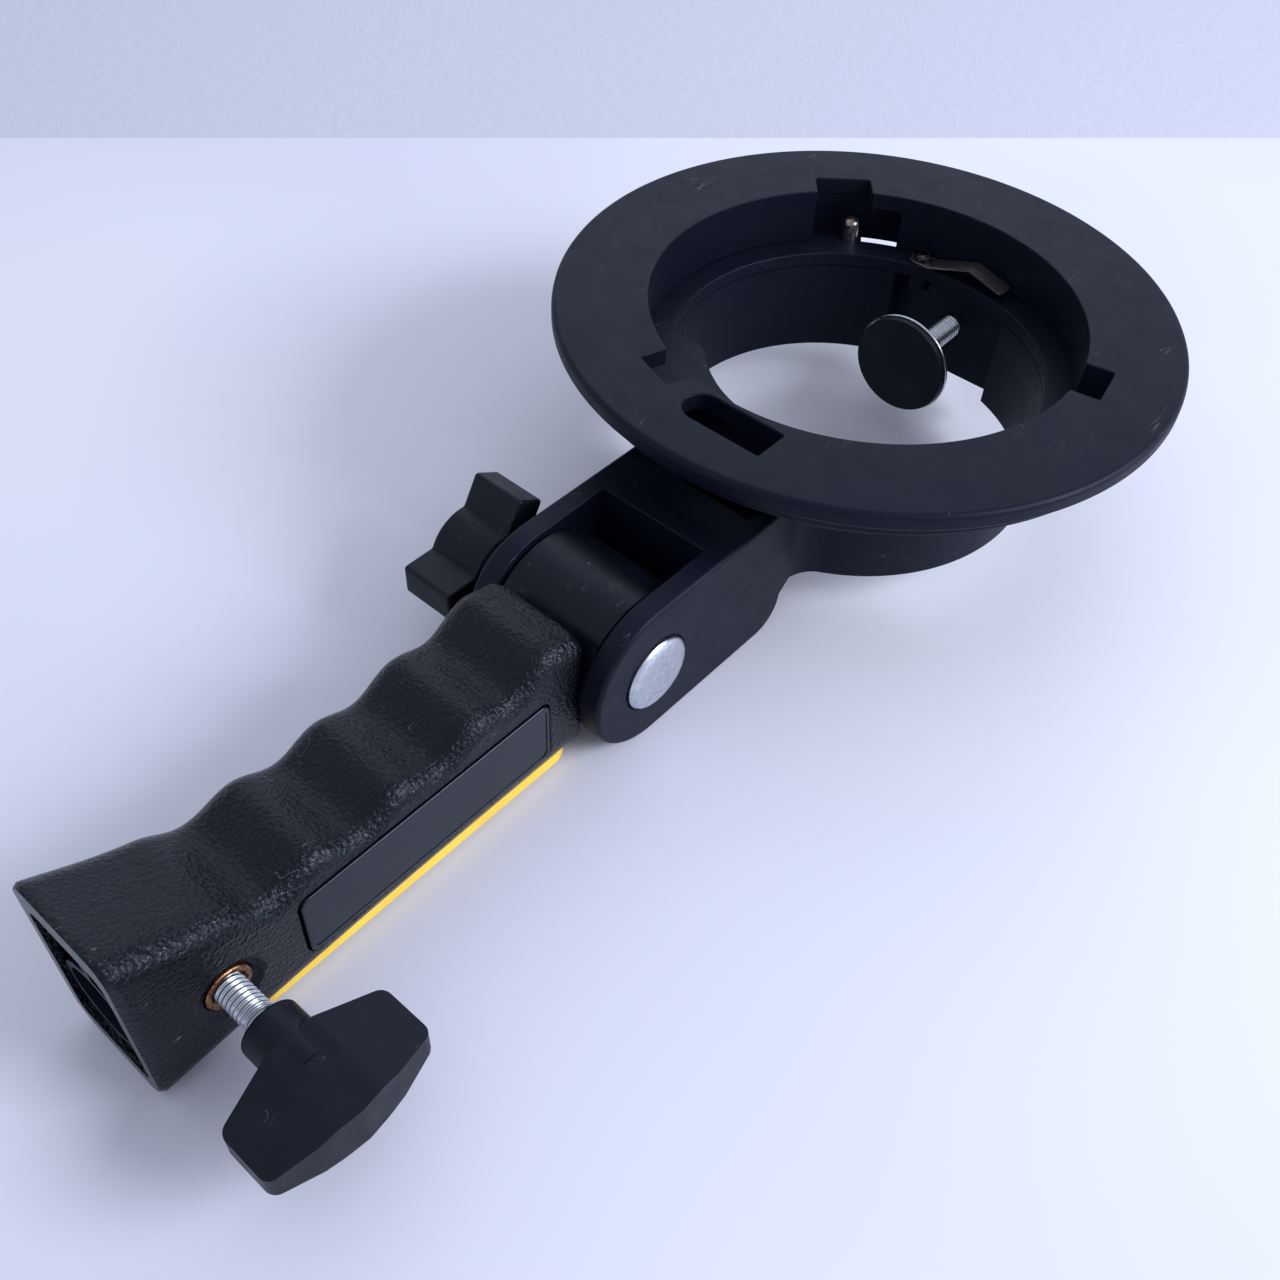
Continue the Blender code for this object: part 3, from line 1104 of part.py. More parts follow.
def tang_outline():
    """The tang's cross-section, with its back corners cut to follow the cavity's round ones."""
    half = TANG_WIDTH / 2.0
    back = tang_back()
    chamfer = (GRIP_BACK_CORNER - GRIP_WALL) * TANG_CHAMFER_SHARE
    return [(-half, TANG_FRONT), (-half, chamfer - back), (chamfer - half, -back), (half - chamfer, -back),
            (half, chamfer - back), (half, TANG_FRONT)]


def smooth_share(shares, place):
    """Read a value from a table of shares, eased between its rows."""
    for (low, first), (high, second) in zip(shares, shares[1:]):
        if place <= high:
            ease = (1.0 - math.cos(math.pi * (place - low) / (high - low))) / 2.0
            return first + (second - first) * ease
    return shares[-1][1]


def grip_front(place, grooves=True):
    """Height of the finger side at this distance from the grip's joint end."""
    share = place / GRIP_LENGTH
    height = GRIP_FRONT * smooth_share(FRONT_SHARES, share)
    flare_start = FRONT_SHARES[-1][0]
    if share > flare_start:
        rise = (share - flare_start) / (1.0 - flare_start)
        height += (GRIP_END_FRONT - height) * (1.0 - math.cos(math.pi * rise / 2.0)) ** FLARE_POWER
    if grooves:
        half = FINGER_PITCH / 2.0
        for index in range(FINGER_COUNT):
            offset = place - (FINGER_FIRST + index * FINGER_PITCH)
            if abs(offset) < half:
                height -= FINGER_DEPTH * (1.0 + math.cos(math.pi * offset / half)) / 2.0
    return height


def grip_back(place):
    """Height of the back side, a little deeper towards the open end."""
    share = place / GRIP_LENGTH
    return GRIP_BACK + (GRIP_END_BACK - GRIP_BACK) * share ** 3


def section(place, front, back, half_width, front_corner, back_corner, steps):
    """One ring of the grip's loft, as points about the tilt axis."""
    points = []
    corners = ((1, 1, front_corner), (-1, 1, front_corner), (-1, -1, back_corner), (1, -1, back_corner))
    for index, (sign_x, sign_z, radius) in enumerate(corners):
        height = front if sign_z > 0 else back
        centre = (sign_x * (half_width - radius), sign_z * (height - radius))
        for x, z in arc(centre, radius, index * QUARTER, (index + 1) * QUARTER, steps):
            points.append((x, -(GRIP_START + place), z))
    return points


def loft(rings):
    """Close a stack of matching rings into one body."""
    bm = bmesh.new()
    rows = [[bm.verts.new(point) for point in ring_points] for ring_points in rings]
    count = len(rows[0])
    for first, second in zip(rows, rows[1:]):
        for index in range(count):
            after = (index + 1) % count
            bm.faces.new((first[index], first[after], second[after], second[index]))
    bm.faces.new(rows[0])
    bm.faces.new(rows[-1])
    return finished(bm, "loft")


def back_corner(place):
    """Radius of the back's corners, smaller at the open end."""
    share = place / GRIP_LENGTH
    return GRIP_BACK_CORNER + (GRIP_END_CORNER - GRIP_BACK_CORNER) * share ** 3


def grip_places(step):
    """Distances along the grip, evenly spaced, with both ends."""
    count = max(2, round(GRIP_LENGTH / step))
    return [GRIP_LENGTH * index / count for index in range(count + 1)]


def grip_shell():
    """Hollow grip with finger grooves, open at both ends, with seats for the drum, label, strip and lock."""
    rings = []
    for place in grip_places(FINGER_PITCH / 6.0):
        edge = max(0.0, place - (GRIP_LENGTH - GRIP_END_EDGE)) / GRIP_END_EDGE
        shrink = GRIP_END_EDGE / 2.0 * edge
        rings.append(section(place, grip_front(place) - shrink, grip_back(place) - shrink,
                             GRIP_HALF_WIDTH - shrink, GRIP_FRONT_CORNER, back_corner(place), 4))
    shell = piece("grip_shell", loft(rings), GRAINED_PLASTIC, tilt)

    hollow = []
    for place in [-OVERRUN] + grip_places(FINGER_PITCH / 3.0) + [GRIP_LENGTH + OVERRUN]:
        inside = min(max(place, 0.0), GRIP_LENGTH)
        front = grip_front(inside, grooves=False) - FINGER_DEPTH - GRIP_WALL
        back = grip_back(inside) - GRIP_BACK_WALL
        corner = back_corner(inside) - GRIP_WALL
        hollow.append(section(place, front, back, GRIP_HALF_WIDTH - GRIP_WALL, GRIP_WALL, corner, 3))
    cut(shell, loft(hollow))
    drum = cylinder(DRUM_RADIUS + GAP, -CHEEK_INNER, CHEEK_INNER, 48)
    cut(shell, moved(drum, turn=Matrix.Rotation(QUARTER, 4, "Y")))
    mouth = -(GRIP_END + OVERRUN)
    seat_end = SOCKET_INSET + SOCKET_DEPTH + SOCKET_FLOOR + GAP - GRIP_END
    sleeve = cylinder(SOCKET_RADIUS + SOCKET_WALL + GAP, mouth, seat_end, 36)
    cut(shell, moved(sleeve, turn=Matrix.Rotation(-QUARTER, 4, "X")))

    cut(shell, label_block(LABEL_CORNER, GAP, -LABEL_SINK, OVERRUN))
    cut(shell, strip_block(GAP, -STRIP_SINK, OVERRUN))
    place = (0.0, LOCK_FROM_END - GRIP_END, 0.0)
    across = Matrix.Rotation(QUARTER, 4, "Y")
    hole = cylinder(LOCK_INSERT_RADIUS + GAP, 0.0, GRIP_HALF_WIDTH + OVERRUN, 24)
    cut(shell, moved(hole, place, across))
    dimple = cylinder(LOCK_DIMPLE_RADIUS, GRIP_HALF_WIDTH - LOCK_DIMPLE, GRIP_HALF_WIDTH + OVERRUN, 28)
    cut(shell, moved(dimple, place, across))
    for spot in GRIP_SCREW_PLACES:
        floor = -(GRIP_BACK - STRIP_SINK)
        hole = cylinder(GRIP_SCREW_RADIUS + GAP, floor - OVERRUN, -tang_back(), 12)
        cut(shell, moved(hole, (0.0, -spot, 0.0)))
        seat = cylinder(GRIP_SCREW_HEAD_RADIUS + GAP, floor - OVERRUN, floor + GRIP_SCREW_HEAD + GAP, 20)
        cut(shell, moved(seat, (0.0, -spot, 0.0)))
    return shell


def label_block(corner, clearance, low, high):
    """A rounded slab on the grip's right side, between two depths measured from its surface."""
    half_length = LABEL_LENGTH / 2.0 + clearance
    half_height = LABEL_HEIGHT / 2.0 + clearance
    outline = rounded_rectangle(half_length, half_height, corner, 3)
    slab = extruded([outline], GRIP_HALF_WIDTH + low, GRIP_HALF_WIDTH + high)
    middle = -(GRIP_START + LABEL_START + LABEL_LENGTH / 2.0)
    return moved(slab, (0.0, middle, -LABEL_DROP), YZ_TO_X)


def strip_block(clearance, low, high):
    """A long slab with round ends on the grip's back, between two depths measured from its surface."""
    half_length = STRIP_LENGTH / 2.0 + clearance
    half_width = STRIP_HALF_WIDTH + clearance
    outline = rounded_rectangle(half_width, half_length, half_width * STRIP_CORNER_SHARE, 6)
    slab = extruded([outline], -(GRIP_BACK + high), -(GRIP_BACK + low))
    middle = -(GRIP_START + STRIP_START + STRIP_LENGTH / 2.0)
    return moved(slab, (0.0, middle, 0.0))


def grip_trim():
    """Label plate, back strip and the two screws that hold the tang."""
    plate = label_block(LABEL_CORNER - GAP, 0.0, GAP - LABEL_SINK, LABEL_PROUD)
    soften(piece("label_plate", plate, GLOSS_BLACK, tilt), LABEL_PROUD, 2)
    piece("back_strip", strip_block(0.0, GAP - STRIP_SINK, STRIP_PROUD), YELLOW_PLASTIC, tilt)
    over = Matrix.Rotation(math.pi, 4, "X")
    head_seat = -(GRIP_BACK - STRIP_SINK - GRIP_SCREW_HEAD)
    length = head_seat + tang_back() + GRIP_SCREW_BITE
    for number, spot in enumerate(GRIP_SCREW_PLACES, 1):
        screw(f"grip_screw_{number}", STEEL, tilt, (0.0, -spot, head_seat), GRIP_SCREW_HEAD_RADIUS,
              GRIP_SCREW_HEAD - GAP, GRIP_SCREW_RADIUS, length, over)


def stand_socket():
    """Sleeve for a stand's spigot, closed at its inner end, with ribs to the grip's front and back walls."""
    mouth = -(GRIP_END - SOCKET_INSET)
    floor = mouth + SOCKET_DEPTH
    outer = SOCKET_RADIUS + SOCKET_WALL
    along = Matrix.Rotation(-QUARTER, 4, "X")
    made = piece("stand_socket", moved(cylinder(outer, mouth, floor + SOCKET_FLOOR, 36), turn=along),
                 BLACK_PLASTIC, tilt)
    place = GRIP_LENGTH - SOCKET_INSET
    half = SOCKET_RIB / 2.0
    rib_end = place - SOCKET_DEPTH
    profile = []
    steps = 8
    for step in range(steps + 1):
        spot = place - (place - rib_end) * step / steps
        front = grip_front(spot, grooves=False) - FINGER_DEPTH - GRIP_WALL - 2.0 * GAP
        profile.append((-(GRIP_START + spot), front))
    back = min(grip_back(place), grip_back(rib_end)) - GRIP_BACK_WALL - 2.0 * GAP
    profile += [(-(GRIP_START + rib_end), -back), (-(GRIP_START + place), -back)]
    join(made, moved(extruded([profile], -half, half), turn=YZ_TO_X))
    cut(made, moved(cylinder(SOCKET_RADIUS, mouth - OVERRUN, floor, 36), turn=along))
    hole = cylinder(LOCK_INSERT_RADIUS + GAP, 0.0, GRIP_HALF_WIDTH, 24)
    cut(made, moved(hole, (0.0, LOCK_FROM_END - GRIP_END, 0.0), Matrix.Rotation(QUARTER, 4, "Y")))
    return made


def lock_pieces():
    """Threaded insert in the grip's side, pressure tip, threaded rod and T-shaped knob."""
    inner = SOCKET_RADIUS + GAP
    outer = GRIP_HALF_WIDTH - LOCK_INSERT_SINK
    insert = piece("lock_insert", cylinder(LOCK_INSERT_RADIUS, inner, outer, 24), BRASS, lock)
    cut(insert, cylinder(ROD_RADIUS + GAP, inner - OVERRUN, outer + OVERRUN, 20))
    tip_end = inner + LOCK_TIP_THICK
    piece("lock_tip", cylinder(LOCK_TIP_RADIUS, inner, tip_end, 20), BLACK_PLASTIC, lock)
    knob_start = GRIP_HALF_WIDTH + LOCK_EXPOSED
    rod_end = knob_start + KNOB_BORE_DEPTH
    piece("lock_screw", threaded(tip_end + GAP, rod_end, tip_end + GAP, knob_start - GAP), ZINC, lock)
    t_knob("lock_knob", lock, knob_start, rod_end)


front_flange()
backing_ring()
bracket_body()
ring_screws()
flange_screws()
saddle_pad()
latch_pieces()
leaf_spring()
clamp_pieces()
bolt_pieces()
tilt_knuckle()
grip_shell()
grip_trim()
stand_socket()
lock_pieces()
bpy.context.view_layer.update()
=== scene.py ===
import math

import bmesh
import bpy
from mathutils import Matrix, Vector


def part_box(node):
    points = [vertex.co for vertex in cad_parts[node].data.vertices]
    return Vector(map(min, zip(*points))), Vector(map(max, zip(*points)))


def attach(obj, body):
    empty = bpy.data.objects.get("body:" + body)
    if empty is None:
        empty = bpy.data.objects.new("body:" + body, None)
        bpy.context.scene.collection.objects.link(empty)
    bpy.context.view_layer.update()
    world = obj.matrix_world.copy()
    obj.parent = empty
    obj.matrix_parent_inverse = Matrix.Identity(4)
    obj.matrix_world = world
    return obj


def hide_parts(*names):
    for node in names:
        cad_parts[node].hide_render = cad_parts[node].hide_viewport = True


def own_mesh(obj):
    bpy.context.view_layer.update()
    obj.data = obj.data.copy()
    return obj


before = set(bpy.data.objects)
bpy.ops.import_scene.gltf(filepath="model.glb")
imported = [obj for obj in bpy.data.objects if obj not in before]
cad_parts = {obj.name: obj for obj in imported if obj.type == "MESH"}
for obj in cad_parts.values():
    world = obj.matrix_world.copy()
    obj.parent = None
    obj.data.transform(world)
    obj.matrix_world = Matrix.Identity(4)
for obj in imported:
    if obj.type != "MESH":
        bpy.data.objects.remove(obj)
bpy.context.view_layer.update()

mm = 0.001
quarter = math.pi / 2.0

# --- Ring front ---
# A flat annulus moulded in black glass-filled nylon, satin with a fine spark-eroded grain. Three
# notches let a softbox ring's lugs in, and the slot on the arm's side takes an umbrella's shaft.
# Behind it a skirt with lug stops goes down to the shelf. Four screws hold it from behind.
flange_low, flange_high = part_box("front_flange")
# The ring's shapes are drawn in millimetres about the middle of its face
ring_middle = (0.0, (flange_low.y + flange_high.y) / 2.0, flange_high.z)
from_ring = Matrix.Translation(ring_middle) @ Matrix.Scale(mm, 4)
rim_radius = 72.0
rim_edge = 1.4
rim_low_edge = 0.7
bore_radius = 50.0
bore_edge = 0.35
flange_thick = 4.0
# Each notch's direction in degrees and its width
notches = [(11.0, 11.2), (131.0, 14.0), (251.0, 11.2)]
notch_reach = 56.4
notch_round = 0.5
lug_sweep = math.radians(17.5)
stop_wall = 2.6
skirt_radius = 52.0
skirt_end = -13.7
skirt_root = 0.8
slot_half = 4.4
slot_middle = -(bore_radius + 1.3 + slot_half)
slot_left = -2.8
slot_right = 15.0
slot_round = 0.45
slot_edge = 0.4


def arc(radius, start, end, steps, middle=(0.0, 0.0)):
    """Points along an arc, with both its ends."""
    angles = [start + (end - start) * step / steps for step in range(steps + 1)]
    return [(middle[0] + radius * math.cos(a), middle[1] + radius * math.sin(a)) for a in angles]


def circle(radius, steps):
    """A closed round outline."""
    return arc(radius, 0.0, 2.0 * math.pi * (steps - 1) / steps, steps - 1)


def eased(points, radius, steps=4, least_turn=0.5):
    """Round the corners of a closed outline that turn by more than the least turn."""
    result = []
    for index, point in enumerate(points):
        here = Vector(point)
        back = Vector(points[index - 1]) - here
        ahead = Vector(points[(index + 1) % len(points)]) - here
        opening = back.angle(ahead)
        if math.pi - opening < least_turn:
            result.append(tuple(here))
            continue
        half = opening / 2.0
        longest = min(back.length, ahead.length) * 0.45
        reach = min(radius / math.tan(half), longest)
        size = reach * math.tan(half)
        inward = (back.normalized() + ahead.normalized()).normalized()
        middle = here + inward * (size / math.sin(half))
        first = here + back.normalized() * reach - middle
        last = here + ahead.normalized() * reach - middle
        turn = math.atan2(first.cross(last), first.dot(last))
        for step in range(steps + 1):
            result.append(tuple(middle + Matrix.Rotation(turn * step / steps, 2) @ first))
    return result


def oblong(x, y, far_x, far_y):
    """A rectangle between two corners, from the first one."""
    return [(x, y), (far_x, y), (far_x, far_y), (x, far_y)]


def ordered(points):
    """An outline that runs anticlockwise."""
    area = sum(a[0] * b[1] - b[0] * a[1] for a, b in zip(points, points[1:] + points[:1]))
    return list(points) if area > 0.0 else list(points)[::-1]


def shifted(points, distance):
    """An anticlockwise outline moved inwards, or outwards where the distance is negative."""
    if distance == 0.0:
        return points
    result = []
    for index, point in enumerate(points):
        here = Vector(point)
        back = (here - Vector(points[index - 1])).normalized()
        ahead = (Vector(points[(index + 1) % len(points)]) - here).normalized()
        inward = Vector((-back.y - ahead.y, back.x + ahead.x))
        result.append(tuple(here + inward * (distance / (1.0 + back.dot(ahead)))))
    return result


def closed_mesh(bm):
    """Weld a shape, turn its faces outwards and make it a mesh."""
    bmesh.ops.remove_doubles(bm, verts=bm.verts, dist=0.0005)
    bmesh.ops.recalc_face_normals(bm, faces=bm.faces)
    mesh = bpy.data.meshes.new("shape")
    bm.to_mesh(mesh)
    bm.free()
    return mesh


def skin(bm, rows):
    """Lay four-sided faces between matching closed rows of points."""
    for first, second in zip(rows, rows[1:]):
        for index in range(len(first)):
            after = (index + 1) % len(first)
            bm.faces.new((first[index], first[after], second[after], second[index]))


def moulded(outlines, low, high, low_edges=0.0, top_edges=0.0, steps=4):
    """A flat moulding with rounded edges: the first outline, with any others as holes in it.
    A negative edge flares outwards, which gives a cutter that leaves a rounded edge."""
    bm = bmesh.new()
    rims = ([], [])
    for index, outline in enumerate(outlines):
        outline = ordered(outline)
        side = 1.0 if index == 0 else -1.0
        low_edge = low_edges[index] if isinstance(low_edges, list) else low_edges
        top_edge = top_edges[index] if isinstance(top_edges, list) else top_edges
        levels = []
        for step in range(steps + 1 if low_edge else 1):
            turn = quarter * step / steps
            height = low + abs(low_edge) * (1.0 - math.cos(turn))
            levels.append((low_edge * (1.0 - math.sin(turn)), height))
        for step in range(steps + 1 if top_edge else 1):
            turn = quarter * step / steps
            height = high - abs(top_edge) * (1.0 - math.sin(turn))
            levels.append((top_edge * (1.0 - math.cos(turn)), height))
        rows = []
        for inset, height in levels:
            rows.append([bm.verts.new((x, y, height)) for x, y in shifted(outline, side * inset)])
        skin(bm, rows)
        rims[0].append(rows[0])
        rims[1].append(rows[-1])
    for ends in rims:
        if len(ends) == 1:
            bm.faces.new(ends[0])
            continue
        edges = []
        for rim in ends:
            edges += [bm.edges.get((a, b)) for a, b in zip(rim, rim[1:] + rim[:1])]
        bmesh.ops.triangle_fill(bm, use_beauty=True, edges=edges)
    return closed_mesh(bm)


def lathe(profile, steps, closed=False):
    """Turn a profile of (radius, height) points about Z. Flat ends are closed with one face each."""
    bm = bmesh.new()
    rows = []
    for radius, height in profile:
        rows.append([bm.verts.new((x, y, height)) for x, y in circle(radius, steps)])
    skin(bm, rows + rows[:1] if closed else rows)
    if not closed:
        bm.faces.new(rows[0])
        bm.faces.new(rows[-1])
    return closed_mesh(bm)


def shown(name, data):
    """A new object in the scene."""
    made = bpy.data.objects.new(name, data)
    bpy.context.scene.collection.objects.link(made)
    return made


def baked(made):
    """The mesh that an object's modifiers make."""
    graph = bpy.context.evaluated_depsgraph_get()
    return bpy.data.meshes.new_from_object(made.evaluated_get(graph))


def worked(base, operation, tools):
    """Join solids on (UNION), cut them out (DIFFERENCE) or keep what they share (INTERSECT)."""
    blank = shown("blank", base)
    helpers = [shown("tool", tool) for tool in tools]
    for helper in helpers:
        step = blank.modifiers.new("work", "BOOLEAN")
        step.operation = operation
        step.object = helper
        step.solver = "EXACT"
    mesh = baked(blank)
    for made in [blank] + helpers:
        bpy.data.objects.remove(made)
    return mesh


def at(mesh, place=(0.0, 0.0, 0.0), turn=None):
    """Move a shape, after an optional turn."""
    mesh.transform(Matrix.Translation(place) @ (turn or Matrix.Identity(4)))
    return mesh


def piece(name, mesh, place, finish, body, slot, *replaced, crease=32.0):
    """Set a mesh in its place as a named piece, smooth but for its real edges. It rides on its body
    and stands for the frame's nodes that it replaces."""
    mesh.transform(place)
    mesh.name = name
    mesh.materials.clear()
    mesh.materials.append(finish)
    mesh.shade_smooth()
    mesh.set_sharp_from_angle(angle=math.radians(crease))
    made = shown(name, mesh)
    made.modifiers.new("even_light", "WEIGHTED_NORMAL").keep_sharp = True
    made.data = baked(made)
    made.modifiers.clear()
    made.data.name = name
    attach(made, body)
    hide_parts(*replaced)
    return made


def plain_finish(name, colour, roughness, metallic=0.0, mirror=0.5):
    """A surface of one colour, before its pattern is added."""
    made = bpy.data.materials.new(name)
    made.use_nodes = True
    made.diffuse_color = (*colour, 1.0)
    shader = made.node_tree.nodes["Principled BSDF"].inputs
    shader["Base Color"].default_value = (*colour, 1.0)
    shader["Roughness"].default_value = roughness
    shader["Metallic"].default_value = metallic
    shader["Specular IOR Level"].default_value = mirror
    # Painted reflection colour: a blue specular tint on non-metals stands in for the bluish room light
    # mirrored in them.
    if metallic == 0.0:
        shader["Specular Tint"].default_value = (0.72, 0.82, 1.0, 1.0)
    return made


def add_node(tree, kind, settings=None, **inputs):
    """Add a node to a tree and give its first output. Each input is a value, a socket or a list of
    sockets, under its name or, after "at", its number."""
    made = tree.nodes.new(kind)
    for name, value in (settings or {}).items():
        setattr(made, name, value)
    for name, value in inputs.items():
        socket = made.inputs[int(name[2:]) if name.startswith("at") else name.replace("_", " ")]
        sources = [value] if isinstance(value, bpy.types.NodeSocket) else value
        if isinstance(sources, list):
            for source in sources:
                tree.links.new(source, socket)
        else:
            socket.default_value = value
    return made.outputs[0]


def pattern(finish, size, stretch=(1.0, 1.0, 1.0), kind="ShaderNodeTexNoise", **settings):
    """A pattern on the piece's own coordinates, its features about this many millimetres across."""
    tree = finish.node_tree
    spot = add_node(tree, "ShaderNodeTexCoord").node.outputs["Object"]
    scale = tuple(1.0 / (size * mm * share) for share in stretch)
    spot = add_node(tree, "ShaderNodeMapping", Vector=spot, Scale=scale)
    return add_node(tree, kind, Vector=spot, Scale=1.0, **settings)


def spread(finish, source, low, high, low_to=0.0, high_to=1.0):
    """Stretch a pattern's values from one range to another, held at the ends."""
    return add_node(finish.node_tree, "ShaderNodeMapRange", Value=source, From_Min=low, From_Max=high,
                    To_Min=low_to, To_Max=high_to)


def vary_roughness(finish, source, low, high):
    """Let a pattern drive the roughness between two values."""
    rough = finish.node_tree.nodes["Principled BSDF"].inputs["Roughness"]
    finish.node_tree.links.new(spread(finish, source, 0.3, 0.7, low, high), rough)


def mix_colour(finish, amount, other):
    """Mix another colour in by an amount, over whatever colour is there."""
    base = finish.node_tree.nodes["Principled BSDF"].inputs["Base Color"]
    under = base.links[0].from_socket if base.is_linked else base.default_value
    mixed = add_node(finish.node_tree, "ShaderNodeMix", {"data_type": "RGBA"}, A=under, B=(*other, 1.0),
                     Factor=amount)
    finish.node_tree.links.new(mixed.node.outputs["Result"], base)


def vary_colour(finish, source, low, high, other):
    """Let another colour come in as a pattern goes from low to high."""
    mix_colour(finish, spread(finish, source, low, high), other)


def emboss(finish, source, depth):
    """Raise a pattern by this many millimetres, on top of any relief that is there."""
    normal = finish.node_tree.nodes["Principled BSDF"].inputs["Normal"]
    relief = {"Normal": normal.links[0].from_socket} if normal.is_linked else {}
    bump = add_node(finish.node_tree, "ShaderNodeBump", Strength=1.0, Distance=depth * mm,
                    Height=source, **relief)
    finish.node_tree.links.new(bump, normal)


def patterned(finish, source, mix, other, rough, depth):
    """Let one pattern drive a finish's colour, roughness and relief."""
    vary_colour(finish, source, *mix, other)
    vary_roughness(finish, source, *rough)
    emboss(finish, source, depth)


def scuffed(finish, size, width, pale):
    """Fine pale scratches: the thin lines where a stretched pattern crosses one value, in patches."""
    lines = pattern(finish, size, (1.0, 7.0, 1.0), Detail=1.0)
    patches = spread(finish, pattern(finish, size * 2.3, Detail=2.0), 0.56, 0.62)
    on_line = add_node(finish.node_tree, "ShaderNodeMath", {"operation": "COMPARE"}, at0=lines, at1=0.62,
                       at2=width)
    both = add_node(finish.node_tree, "ShaderNodeMath", {"operation": "MULTIPLY"}, at0=on_line, at1=patches)
    mix_colour(finish, both, pale)


def bore_outline():
    """The round bore with its three notches."""
    points = []
    for index, (degrees, width) in enumerate(notches):
        angle = math.radians(degrees)
        out = Vector((math.cos(angle), math.sin(angle)))
        side = Vector((-out.y, out.x))
        across = width / 2.0
        after, after_width = notches[(index + 1) % len(notches)]
        start = angle + math.asin(across / bore_radius)
        end = math.radians(after) - math.asin(after_width / 2.0 / bore_radius)
        if end < start:
            end += 2.0 * math.pi
        points += [tuple(out * notch_reach - side * across), tuple(out * notch_reach + side * across)]
        points += arc(bore_radius, start, end, 72)
    return points


def slot_outline():
    """The umbrella slot: a round end on the left, square corners on the right."""
    points = arc(slot_half, quarter, 3.0 * quarter, 20, (slot_left, slot_middle))
    return points + [(slot_right, slot_middle - slot_half), (slot_right, slot_middle + slot_half)]


def skirt_outline(index):
    """One stretch of the skirt from notch to notch, with a full-thickness stop at each end."""
    degrees, width = notches[index]
    inner = bore_radius + 0.05
    stop = stop_wall / notch_reach
    start = math.radians(degrees) + math.asin(width / 2.0 / inner)
    outer_start = math.radians(degrees) + math.asin(width / 2.0 / notch_reach)
    end = math.radians(notches[(index + 1) % len(notches)][0]) - lug_sweep
    if end < start:
        end += 2.0 * math.pi
    points = arc(inner, start, end, 60) + arc(notch_reach, end, end - stop, 4)
    points += arc(skirt_radius, end - stop, outer_start + stop, 56)
    return points + arc(notch_reach, outer_start + stop, outer_start, 4)


satin_black = plain_finish("satin_black_nylon", (0.0028, 0.0042, 0.0115), 0.46, mirror=0.18)
cloud = pattern(satin_black, 34.0, Detail=3.0)
vary_colour(satin_black, cloud, 0.35, 0.7, (0.0042, 0.0056, 0.0120))
rub = pattern(satin_black, 7.0, Detail=5.0, Roughness=0.6)
vary_roughness(satin_black, rub, 0.44, 0.54)
emboss(satin_black, pattern(satin_black, 0.32, Detail=2.0, Roughness=0.6), 0.035)
scuffed(satin_black, 4.0, 0.0022, (0.05, 0.052, 0.06))

outlines = [circle(rim_radius, 288), eased(bore_outline(), notch_round), eased(slot_outline(), slot_round)]
plate = moulded(outlines, -flange_thick, 0.0, [rim_low_edge, 0.0, 0.0], [rim_edge, bore_edge, slot_edge])
skirts = [moulded([skirt_outline(index)], skirt_end, skirt_root - flange_thick)
          for index in range(len(notches))]
piece("flange_moulding", worked(plate, "UNION", skirts), from_ring, satin_black,
      "bracket", "black_plastic", "front_flange")

# --- Backing ring ---
# The dish behind the flange, moulded in the same black nylon: a rim with a hollow channel, a
# housing for the lugs and the shelf they turn on. Under it hang the latch's block and the leaf
# spring's boss. Four countersunk screws hold it on the body.
housing_radius = 56.7
housing_outer = 58.7
band_radius = 68.5
band_top = -4.3
band_bottom = -8.3
band_scoop = band_top - 2.2
band_lip = band_radius - 2.0
shelf_top = -14.0
shelf_bottom = -17.3
soft_edge = 0.5
lug_edge = 0.4
collar_radius = 44.0
collar_outer = 46.5
saddle_radius = 36.0
saddle_half_angle = math.radians(48.0)
saddle_blend = math.radians(14.0)
latch_radius = 52.2
latch_angle = math.radians(127.5)
block_corner = 3.3
block_bottom = -19.5
shelf_thick = 3.3
# The latch's block and the leaf's boss reach this far up into the shelf
hanging_root = -1.65
boss_radius = 2.9
boss_bottom = -7.3
flange_screw_hole = 1.8
ring_screw_head = 2.2
ring_screw_hole = 1.3
leaf_screw_hole = 1.25
pin_hole = 2.35
spring_bore = 4.2
undercut_depth = 1.75
leaf_place = (-11.4, 45.4)
flange_screw_circle = (housing_outer + band_radius) / 2.0
flange_screw_angles = [math.radians(degrees) for degrees in (32.0, 148.0, 212.0, 328.0)]
ring_screw_places = [(15.508, 49.0), (-15.508, 49.0), (-16.35, -48.8), (16.35, -48.8)]
# Tools reach this far past what they cut, and two that meet overlap by a slip
over = 3.0
slip = 0.01
hair = 0.006


def passage_outline(steps=300):
    """The flash's passage: round, with a saddle of smaller radius on the arm's side."""
    points = []
    for step in range(steps):
        angle = -quarter + 2.0 * math.pi * (step + 0.5) / steps
        offset = min(angle + quarter, 2.0 * math.pi - angle - quarter) - saddle_half_angle
        share = min(max(offset / saddle_blend, 0.0), 1.0)
        swell = (1.0 - math.cos(math.pi * share)) / 2.0
        radius = saddle_radius + (collar_radius - saddle_radius) * swell
        points.append((radius * math.cos(angle), radius * math.sin(angle)))
    return points


def sector(inner, outer, start, end, steps=24):
    """A piece of a ring."""
    return arc(inner, start, end, steps) + arc(outer, end, start, steps)


def latch_outline():
    """The latch's block seen from above, in the latch's own directions."""
    points = [(-5.4, -5.8)] + arc(block_corner, -quarter, 0.0, 8, (2.2, -2.5))
    return points + arc(block_corner, 0.0, quarter, 8, (2.2, 10.9)) + [(-5.4, 14.2)]


def round_bar(radius, low, high, steps=48):
    """A plain bar along Z, used to bore and to build."""
    return lathe([(radius, low), (radius, high)], steps)


